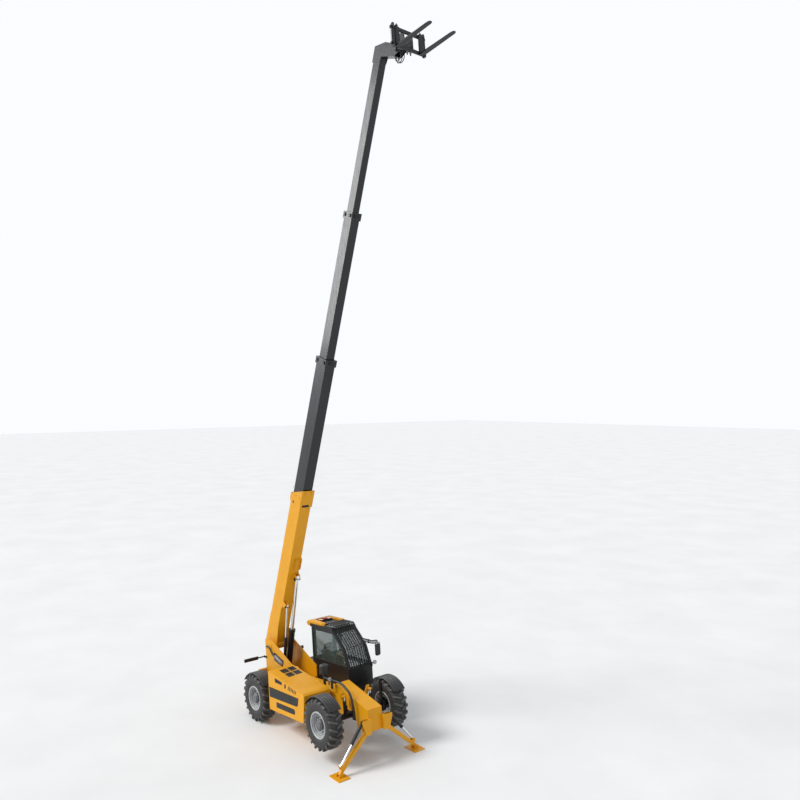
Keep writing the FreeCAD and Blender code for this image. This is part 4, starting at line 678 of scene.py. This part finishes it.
HOOD_REAR, HOOD_FRONT = (-0.84, 1.495), (0.62, 1.262)  # the hood's top line, as (x, z)
FALL = math.atan2(HOOD_FRONT[1] - HOOD_REAR[1], HOOD_FRONT[0] - HOOD_REAR[0])
HOOD_TOP = Matrix.Translation((HOOD_REAR[0], 0, HOOD_REAR[1])) @ Matrix.Rotation(-FALL, 4, "Y")
SKIN, PROUD = -1.148, -1.1525  # the right side's sheet metal, and how far trim stands out
SLAT_START, SLAT_END, SLAT_INSET, SLAT_HEIGHT = 0.2, 0.72, 0.06, 0.004


def between(first, second, share):
    return tuple(a + share * (b - a) for a, b in zip(first, second))


def panel(shape, outline, at, high, slats, axis):
    """A dark panel of four corners with slats across it, between its two long sides."""
    a, b, c, d = outline
    middle = [sum(point[i] for point in outline) / 4 for i in (0, 1)]
    shape.prism(outline, at, high, axis)
    for k in range(slats):
        start, end = (k + SLAT_START) / slats, (k + SLAT_END) / slats
        slat = (between(a, b, start), between(a, b, end), between(d, c, end), between(d, c, start))
        inner = [between(point, middle, SLAT_INSET) for point in slat]
        shape.prism(inner, high, high + math.copysign(SLAT_HEIGHT, high - at), axis)


vents = Shape()
for row in (0.135, 0.420):
    for near, far in ((-0.88, -0.66), (-0.63, -0.42)):
        skew = [row - 0.10 * (y + 0.9) for y in (near, far)]
        panel(vents, ((skew[0], near), (skew[0] + 0.245, near), (skew[1] + 0.245, far),
                      (skew[1], far)), -0.002, 0.002, 7, "z")
vents.build("hood_vents", GUARD, "hood", MACHINE @ HOOD_TOP)
vents_and_louvre_shade = Shape()
panel(vents_and_louvre_shade, ((-0.48, 1.262), (-0.132, 1.252), (-0.119, 1.330), (-0.494, 1.375)), SKIN, PROUD,
      9, "y")
# Black sheets in the narrow slot and the slanted louvres of the hood's side: painted shade where
# these openings show dark.
vents_and_louvre_shade.prism(((0.0, 1.198), (0.070, 1.198), (0.095, 1.305), (0.015, 1.310)), PROUD, SKIN)
for k in range(6):
    x, low, high = 0.17 + 0.07 * k, 1.185 - 0.008 * k, 1.290 - 0.012 * k
    vents_and_louvre_shade.prism(((x, low), (x + 0.038, low), (x + 0.082, high), (x + 0.044, high)), PROUD, SKIN)
vents_and_louvre_shade.build("hood_side_vents_and_louvre_shade", GUARD, "hood")
panel_and_slot_shade = Shape()
panel_and_slot_shade.prism(((-0.81, 0.825), (0.60, 0.845), (0.65, 0.89), (0.69, 1.05), (0.69, 1.07),
             (-0.81, 1.09)), PROUD, SKIN)
# A black sheet in the rounded slot lower down the pod's side: painted shade where the slot shows
# dark.
panel_and_slot_shade.prism(((-0.44, 0.61), (0.44, 0.61), (0.475, 0.63), (0.49, 0.68), (0.475, 0.73),
             (0.44, 0.75), (-0.44, 0.75), (-0.46, 0.73), (-0.46, 0.63)), PROUD, SKIN)
panel_and_slot_shade.build("pod_side_panel_and_slot_shade", BLACK, "chassis")
WIRE, WIRE_SPAN = 0.004, (-1.154, -1.152)
grid = Shape()
for k in range(13):
    x = -0.76 + 0.104 * k
    grid.block((x, x + WIRE), WIRE_SPAN, (0.838, 1.075 if x < 0.6 else 1.06))
for k in range(4):
    z = 0.87 + 0.055 * k
    grid.block((-0.795, 0.615 + 0.02 * k), WIRE_SPAN, (z, z + WIRE))
for k in range(3):
    grid.block((-0.42, 0.45), (-1.156, -1.152), (0.645 + 0.03 * k, 0.657 + 0.03 * k))
grid.build("pod_side_grid", GUARD, "chassis")


# ---- muffler in the tower, hoses, level cylinders, guard ribs ----

# A black sheet in the slot of the tower's right plate, behind the muffler: painted shade where the
# slot shows dark.
slot_shade = Shape()
slot_shade.prism(((-1.916, 1.640), (-1.880, 1.655), (-1.390, 1.500), (-1.380, 1.470), (-1.440, 1.330),
            (-1.480, 1.320), (-1.900, 1.425), (-1.916, 1.450)), -0.344, -0.338)
slot_shade.build("tower_slot_painted_shade", BLACK, "chassis")
MUFFLER_FALL, MUFFLER_LENGTH = math.radians(21), 0.40
muffler_start = Vector((-1.85, -0.34, 1.555))
along = Vector((math.cos(MUFFLER_FALL), 0, -math.sin(MUFFLER_FALL)))
muffler, ends = Shape(), Shape()
muffler.lathe(((0.0, 0.048), (0.012, 0.056), (0.030, 0.058), (0.032, 0.0595), (0.040, 0.0595),
               (0.042, 0.058), (0.36, 0.058), (0.362, 0.0595), (0.370, 0.0595), (0.372, 0.058),
               (0.388, 0.056), (MUFFLER_LENGTH, 0.048)), muffler_start, along, 40)
muffler.build("muffler", ENGINE, "chassis")
ends.lathe(((0.0, 0.050), (0.006, 0.050), (0.010, 0.030), (0.030, 0.029)),
           muffler_start + MUFFLER_LENGTH * along, along, 32)
ends.build("muffler_end", RIM, "chassis")
hoses = Shape()
hoses.tube(rounded(((-2.29, -0.376, 1.775), (-2.12, -0.376, 1.775), (-1.94, -0.376, 1.589),
                    (-1.84, -0.372, 1.551)), 0.07), 0.024, 14)
hoses.tube(rounded(((0.67, -0.33, 1.41), (1.50, -0.33, 1.41), (1.85, -0.33, 1.23),
                    (1.96, -0.33, 0.95), (1.96, -0.33, 0.64)), 0.16, 7), 0.029, 14)
hoses.block((1.0, 1.06), (-0.345, -0.303), (1.19, 1.40))
hoses.block((1.93, 1.99), (-0.357, -0.303), (0.61, 0.66))
hoses.block((-2.30, -2.27), (-0.376, -0.3403), (1.755, 1.795))
hoses.build("hoses", RUBBER, "chassis")
LEVEL_EAR = ((0.292, 0.87), (0.292, 1.05), (0.37, 1.22), (0.45, 1.22), (0.45, 1.09), (0.35, 0.96))
level, rods, ears = Shape(), Shape(), Shape()
for side in (-1, 1):
    foot = (1.69, side * 0.41, 0.70)
    level.lathe(((0.0, 0.030), (0.01, 0.040), (0.30, 0.040), (0.302, 0.044), (0.33, 0.044)), foot,
                UP, 28)
    rods.lathe(((0.33, 0.022), (0.43, 0.022)), foot, UP, 24)
    ears.prism([(side * y, z) for y, z in LEVEL_EAR], 1.59, 1.615, "x")
    ears.block((1.59, 1.73), mirrored(0.37, 0.45, side), (1.130, 1.155))
level.build("level_cylinders", BLACK, "chassis")
rods.build("level_rods", CHROME, "chassis")
ears.build("level_ears", YELLOW, "chassis")
RIBS, RIB_PITCH, RIB_STEPS, RIB_REACH = 5, 0.075, 24, 103  # the reach is in degrees
RIB_SECTION = ((0.676, -0.020), (0.693, -0.010), (0.693, 0.010), (0.676, 0.020))
for corner, end, side in CORNERS:
    ribs = Shape()
    for k in range(RIBS):
        y = side * TYRE_Y - 0.15 + RIB_PITCH * k
        turns = [math.radians(-RIB_REACH / 2 + RIB_REACH * step / RIB_STEPS)
                 for step in range(RIB_STEPS + 1)]
        ribs.loft([[(end * AXLE_X + radius * math.sin(turn), y + aside,
                     TYRE_RADIUS + radius * math.cos(turn)) for radius, aside in RIB_SECTION]
                   for turn in turns])
    ribs.build(f"guard_ribs_{corner}", GUARD, f"knuckle_{corner}")


# ---- boom head: forks, carriage rods, fittings, hose loops ----

# Along a fork's blade: x, half width, underside, top
BLADE = ((0.305, 0.060, -0.20, -0.13), (0.347, 0.060, -0.20, -0.133), (0.36, 0.060, -0.20, -0.148),
         (0.40, 0.060, -0.20, -0.156), (0.95, 0.060, -0.191, -0.163), (1.36, 0.060, -0.182, -0.166),
         (1.42, 0.058, -0.1805, -0.1665), (1.455, 0.048, -0.18, -0.167),
         (1.472, 0.034, -0.18, -0.168), (1.481, 0.018, -0.179, -0.169),
         (1.4835, 0.008, -0.178, -0.170))
BLADE_TAPER = 0.97
forks = Shape()
for y in (-0.36, 0.36):
    forks.block((0.305, 0.347), (y - 0.06, y + 0.06), (-0.19, 0.28))
    forks.loft([[(x, y - half, low), (x, y + half, low), (x, y + half * BLADE_TAPER, high),
                 (x, y - half * BLADE_TAPER, high)] for x, half, low, high in BLADE])
    for z in (-0.14, 0.26):
        forks.block((0.285, 0.315), (y - 0.045, y + 0.045), (z - 0.02, z + 0.02))
    forks.block((0.262, 0.340), (y - 0.03, y + 0.03), (0.301, 0.325))
    forks.disc((0.32, y, 0.325), UP, 0.014, 0.03, 14)
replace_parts(forks.build("fork_blades", BLACK, "carriage", HEAD), "forks")
rods, fittings = Shape(), Shape()
for side in (-1, 1):
    y = side * 0.505
    rods.tube(((0.285, y, -0.11), (0.285, y, 0.22)), 0.018, 14)
    for low, high in ((-0.15, -0.105), (0.215, 0.26)):
        fittings.block((0.262, 0.312), mirrored(0.484, 0.528, side), (low, high))
    fittings.turned(((0.0, 0.0), (0.0, 0.026), (0.012, 0.030), (0.030, 0.022), (0.034, 0.0)),
                    (0.285, y, 0.26), UP, 18, closed=False)
    fittings.block((0.272, 0.332), mirrored(0.435, 0.485, side), (0.298, 0.352))
    fittings.block((0.272, 0.352), mirrored(0.430, 0.485, side), (-0.215, -0.178))
rods.build("carriage_rods", RIM, "carriage", HEAD)
for side in (-1, 1):
    fittings.lathe(((0.0, 0.045), (0.010, 0.045), (0.014, 0.036)), (0, side * 0.155, 0),
                   (0, side, 0), 28)
fittings.build("carriage_fittings", BLACK, "carriage", HEAD)
couplers, loops = Shape(), Shape()
for y in (-0.05, 0.05):
    couplers.lathe(((0.0, 0.014), (0.02, 0.014), (0.022, 0.023), (0.06, 0.023), (0.062, 0.018),
                    (0.10, 0.018)), (0.284, y, -0.178), DOWN, 18)
couplers.build("carriage_couplers", HUB, "carriage", HEAD)
for y, drop in ((-0.055, 0.0), (-0.015, 0.035), (0.045, 0.015)):
    loops.tube(rounded(((-0.15, y, -0.10), (-0.14, y, -0.25 - drop), (-0.02, y, -0.29 - drop),
                        (0.075, y, -0.20 - drop), (0.05, y, -0.03)), 0.09, 7), 0.011, 10)
loops.build("head_hoses", RUBBER, "boom_4", HEAD)


# ---- boom: pin heads, fittings at the sections' ends; bowl of the air cleaner ----

def rod_eye(name, foot, direction, radius):
    """Middle of the eye at a rod's far end."""
    foot, direction = Vector(foot), Vector(direction)
    reach = max((vertex.co - foot).dot(direction) for vertex in NODES[name].data.vertices)
    return foot + (reach - radius) * direction


def pin_heads(name, centre, radius, near):
    """Round plates with a bolt on both sides of the outer boom's lugs that hold a pin."""
    flat = Vector((centre.x, 0, centre.z))
    widths = [vertex.co.y for vertex in NODES["outer_boom"].data.vertices
              if (Vector((vertex.co.x, 0, vertex.co.z)) - flat).length < near]
    plates = Shape()
    for y, way in ((min(widths), -1), (max(widths), 1)):
        plates.lathe(((0.0, radius), (0.010, radius), (0.014, 0.8 * radius)),
                     (centre.x, y, centre.z), (0, way, 0), 28)
        plates.nut((centre.x, y + way * 0.013, centre.z), (0, way, 0), 0.45 * radius, 0.012)
    plates.build(name, BLACK, "outer_boom", ROW)


pin_heads("lift_pin_heads", rod_eye("lift_cylinder_rod", (-3.047914, 0, 0.97104),
                                    (0.179935, 0, 0.983679), 0.104), 0.05, 0.14)
pin_heads("compensation_pin_heads", rod_eye("compensation_cylinder_rod", (-2.904471, 0, 1.045366),
                                            (0.084359, 0, 0.996435), 0.05), 0.036, 0.10)
BOOM_SIDE, BOOM_UNDER = 0.2015, -0.0295
# Black discs on the outer boom's sides and a black strip under it: painted shade where openings in
# the boom show dark.
hole_shade, bolts, ribs = Shape(), Shape(), Shape()
for side in (-1, 1):
    hole_shade.disc((4.49, side * 0.2018, 0.34), (0, side, 0), 0.036, 0.002, 28)
    for x in (4.72, 4.90):
        for z in (0.06, 0.25, 0.44):
            bolts.nut((x, side * BOOM_SIDE, z), (0, side, 0), 0.013, 0.009)
    for x in (4.86, 4.91):
        bolts.nut((x, side * 0.10, BOOM_UNDER), DOWN, 0.012, 0.009)
# The black strip under the boom is painted shade in an opening too.
hole_shade.block((4.46, 4.53), (-0.13, 0.09), (-0.0325, BOOM_UNDER))
for y in (-0.022, 0.176):
    ribs.prism(((2.46, 0.008), (2.46, -0.030), (2.52, -0.045), (2.80, -0.045), (2.84, 0.008)),
               y, y + 0.016)
ribs.block((2.80, 2.816), (-0.022, 0.192), (-0.045, 0.008))
hole_shade.build("boom_holes_painted_shade", BLACK, "outer_boom", BOOM)
bolts.build("boom_collar_bolts", STEEL, "outer_boom", BOOM)
ribs.build("boom_lug_ribs", YELLOW, "outer_boom", BOOM)
# Each section's collar: body, end, half width, underside, top
for body, end, half, low, high in (("boom_2", 8.74, 0.178, 0.001, 0.504),
                                   ("boom_3", 12.64, 0.152, 0.055, 0.449)):
    pads = Shape()
    span = (end - 0.13, end - 0.04)
    for side in (-1, 1):
        for z in (low + 0.08, high - 0.08):
            pads.block(span, mirrored(half - 0.001, half + 0.020, side), (z - 0.035, z + 0.035))
            for x in (end - 0.11, end - 0.06):
                pads.nut((x, side * (half + 0.019), z), (0, side, 0), 0.011, 0.009)
    for z, way in ((low, -1), (high, 1)):
        pads.block(span, (-0.07, 0.07), sorted((z - way * 0.001, z + way * 0.018)))
    pads.build(f"collar_pads_{body}", BLACK, body, BOOM)
BOWL, BOWL_TOP = (0.67, -0.312), 1.716
bowl = Shape()
bowl.turned(((-0.02, 0.0), (-0.02, 0.1235), (0.0, 0.1235), (0.014, 0.118), (0.030, 0.098),
             (0.040, 0.060), (0.043, 0.0)), (*BOWL, BOWL_TOP), UP, 36, closed=False)
for drop in (0.075, 0.13):
    bowl.turned(((-0.004, 0.118), (-0.004, 0.1265), (0.004, 0.1265), (0.004, 0.118)),
                (*BOWL, BOWL_TOP - drop), UP, 36)
bowl.build("air_cleaner_bowl", GUARD, "chassis")


# ---- boom pivot, cylinder hose, mirror, small cab fittings ----

PIVOT_BOLTS, PIVOT_CIRCLE = 3, 0.045
plates, bolts = Shape(), Shape()
for side in (-1, 1):
    plates.lathe(((0.0, 0.072), (0.010, 0.072), (0.014, 0.066)),
                 (PIVOT[0], side * 0.3515, PIVOT[2]), (0, side, 0), 36)
    for k in range(PIVOT_BOLTS):
        turn = math.pi / 2 + math.tau * k / PIVOT_BOLTS
        bolts.nut((PIVOT[0] + PIVOT_CIRCLE * math.cos(turn), side * 0.365,
                   PIVOT[2] + PIVOT_CIRCLE * math.sin(turn)), (0, side, 0), 0.011, 0.009)
plates.build("boom_pivot_plates", YELLOW, "chassis")
bolts.build("boom_pivot_bolts", STEEL, "chassis")
hose = Shape()
hose.tube(rounded(((-2.775, 0.085, 2.235), (-2.712, 0.085, 2.215), (-2.716, 0.085, 2.05),
                   (-2.765, 0.085, 1.80), (-2.815, 0.085, 1.62)), 0.10, 6), 0.016, 12)
hose.build("lift_hose", RUBBER, "lift_barrel", ROW)
MIRROR_Y, MIRROR_Z, MIRROR_HALF_WIDTH, MIRROR_HALF_HEIGHT = 1.245, 1.865, 0.080, 0.168
OCTAGON = ((-1, -0.8), (-0.8, -0.95), (-0.5, -1), (0.5, -1), (0.8, -0.95), (1, -0.8), (1, 0.8),
           (0.8, 0.95), (0.5, 1), (-0.5, 1), (-0.8, 0.95), (-1, 0.8))


def mirror_outline(share):
    """The mirror's rounded outline as (y, z), at a share of its size."""
    return [(MIRROR_Y + share * a * MIRROR_HALF_WIDTH, MIRROR_Z + share * b * MIRROR_HALF_HEIGHT)
            for a, b in OCTAGON]


arm, shell, glass = Shape(), Shape(), Shape()
for z in (2.050, 2.118):
    arm.tube(rounded(((0.56 + 0.9 * (2.15 - z), 1.093, z), (1.012, 1.093, z),
                      (1.012, MIRROR_Y, z), (1.012, MIRROR_Y, 1.98)), 0.06), 0.0155, 12)
arm.block((0.80, 0.835), (1.075, 1.111), (2.03, 2.138))
arm.build("mirror_arm", GUARD, "chassis")
shell.loft([lay(mirror_outline(share), x, "x")
            for x, share in ((0.990, 0.97), (0.994, 1.0), (1.022, 1.0), (1.045, 0.86),
                             (1.052, 0.6))])
shell.build("mirror_shell", GUARD, "chassis")
glass.prism(mirror_outline(0.9), 0.9885, 0.991, "x")
glass.build("mirror_glass", CHROME, "chassis")
handle = Shape()
handle.tube(rounded(((-0.50, 1.150, 1.46), (-0.50, 1.185, 1.46), (-0.36, 1.185, 1.46),
                     (-0.36, 1.150, 1.46)), 0.015, 3), 0.009, 8)
for z in (1.10, 1.90):
    handle.disc((-0.62, 1.163, z), UP, 0.016, 0.10, 16)
handle.build("door_handle", GUARD, "door")
wiper = Shape()
wiper.tube(((0.872, 0.75, 1.492), (0.862, 0.75, 1.53), (0.742, 0.62, 1.82)),
           (0.010, 0.008, 0.005), 8)
wiper.tube(((0.808, 0.60, 1.66), (0.676, 0.63, 1.97)), 0.006, 8)
wiper.build("screen_wiper", GUARD, "chassis")


# ---- stage: floor, light and camera ----

FLOOR_SIZE = 400
SKY_LIGHT, SKY_STRENGTH = (0.93, 0.96, 1.0, 1), 0.61
BACKGROUND = (0.96, 0.98, 1.0, 1)
SUN_STRENGTH, SUN_SPREAD, SUN_FROM = 2.05, math.radians(22), (-0.30, -0.62, 0.72)
BOX_SIZE, BOX_POWER, BOX_DISTANCE = (26.0, 20.0), 9800.0, 42.0
BOX_FROM, BOX_AIM = (-0.76, -0.60, 0.29), (0.5, 0.0, 11.0)
SENSOR, LENS, CLIP = 36.0, 33.75, 500
EYE = (16.09096, -11.32892, 9.01565)
EYE_AXES = ((0.634571, 0.772854, -0.004177), (0.000535, 0.004965, 0.999988),
            (0.772865, -0.634565, 0.002737))  # right, up and backward


def lay_floor():
    bpy.ops.mesh.primitive_plane_add(size=FLOOR_SIZE)
    floor = bpy.context.object
    floor.name = "floor"
    material, tree, shader = new_material("pale_floor")
    tones = mixed(tree, ramp(tree, noise(tree, 0.35, 6.0), 0.0, 1.0), (0.80, 0.80, 0.79, 1),
                  (0.86, 0.86, 0.85, 1))
    tree.links.new(tones, shader.inputs["Base Color"])
    settle(shader, {"Roughness": 0.9})
    floor.data.materials.append(material)


def light_world():
    """A plain soft sky; the camera, glass and gloss see it as the pale background."""
    world = bpy.data.worlds.new("studio")
    bpy.context.scene.world = world
    world.use_nodes = True
    tree = world.node_tree
    sky = tree.nodes["Background"]
    settle(sky, {"Color": SKY_LIGHT, "Strength": SKY_STRENGTH})
    seen = tree.nodes.new("ShaderNodeBackground")
    settle(seen, {"Color": BACKGROUND, "Strength": 1.0})
    path = tree.nodes.new("ShaderNodeLightPath")
    seen_by = path.outputs["Is Camera Ray"]
    for ray in ("Is Transmission Ray", "Is Glossy Ray"):
        either = tree.nodes.new("ShaderNodeMath")
        either.operation = "MAXIMUM"
        tree.links.new(seen_by, either.inputs[0])
        tree.links.new(path.outputs[ray], either.inputs[1])
        seen_by = either.outputs["Value"]
    mix = tree.nodes.new("ShaderNodeMixShader")
    tree.links.new(seen_by, mix.inputs["Fac"])
    tree.links.new(sky.outputs["Background"], mix.inputs[1])
    tree.links.new(seen.outputs["Background"], mix.inputs[2])
    tree.links.new(mix.outputs["Shader"], tree.nodes["World Output"].inputs["Surface"])


def hang_lamp(light, direction):
    """Put a lamp into the scene so that it shines from a direction."""
    lamp = bpy.data.objects.new(light.name, light)
    lamp.rotation_mode = "QUATERNION"
    lamp.rotation_quaternion = direction.to_track_quat("Z", "Y")
    bpy.context.scene.collection.objects.link(lamp)
    return lamp


def light_machine():
    """A soft sun, and a wide lamp behind the right side that only gloss shows."""
    sun = bpy.data.lights.new("soft_sun", "SUN")
    sun.energy, sun.angle = SUN_STRENGTH, SUN_SPREAD
    hang_lamp(sun, Vector(SUN_FROM))
    box = bpy.data.lights.new("soft_box", "AREA")
    box.shape, box.energy = "RECTANGLE", BOX_POWER
    box.size, box.size_y = BOX_SIZE
    away = Vector(BOX_FROM).normalized()
    lamp = hang_lamp(box, away)
    lamp.location = Vector(BOX_AIM) + away * BOX_DISTANCE
    lamp.visible_diffuse = False


def set_camera():
    """The photograph's camera, as it was fitted to the machine."""
    camera = bpy.data.cameras.new("photo_camera")
    camera.sensor_width, camera.lens, camera.clip_end = SENSOR, LENS, CLIP
    eye = bpy.data.objects.new("photo_camera", camera)
    bpy.context.scene.collection.objects.link(eye)
    eye.matrix_world = Matrix.Translation(EYE) @ Matrix(EYE_AXES).transposed().to_4x4()
    bpy.context.scene.camera = eye


bpy.context.scene.view_settings.view_transform = "Standard"
lay_floor()
light_world()
light_machine()
set_camera()
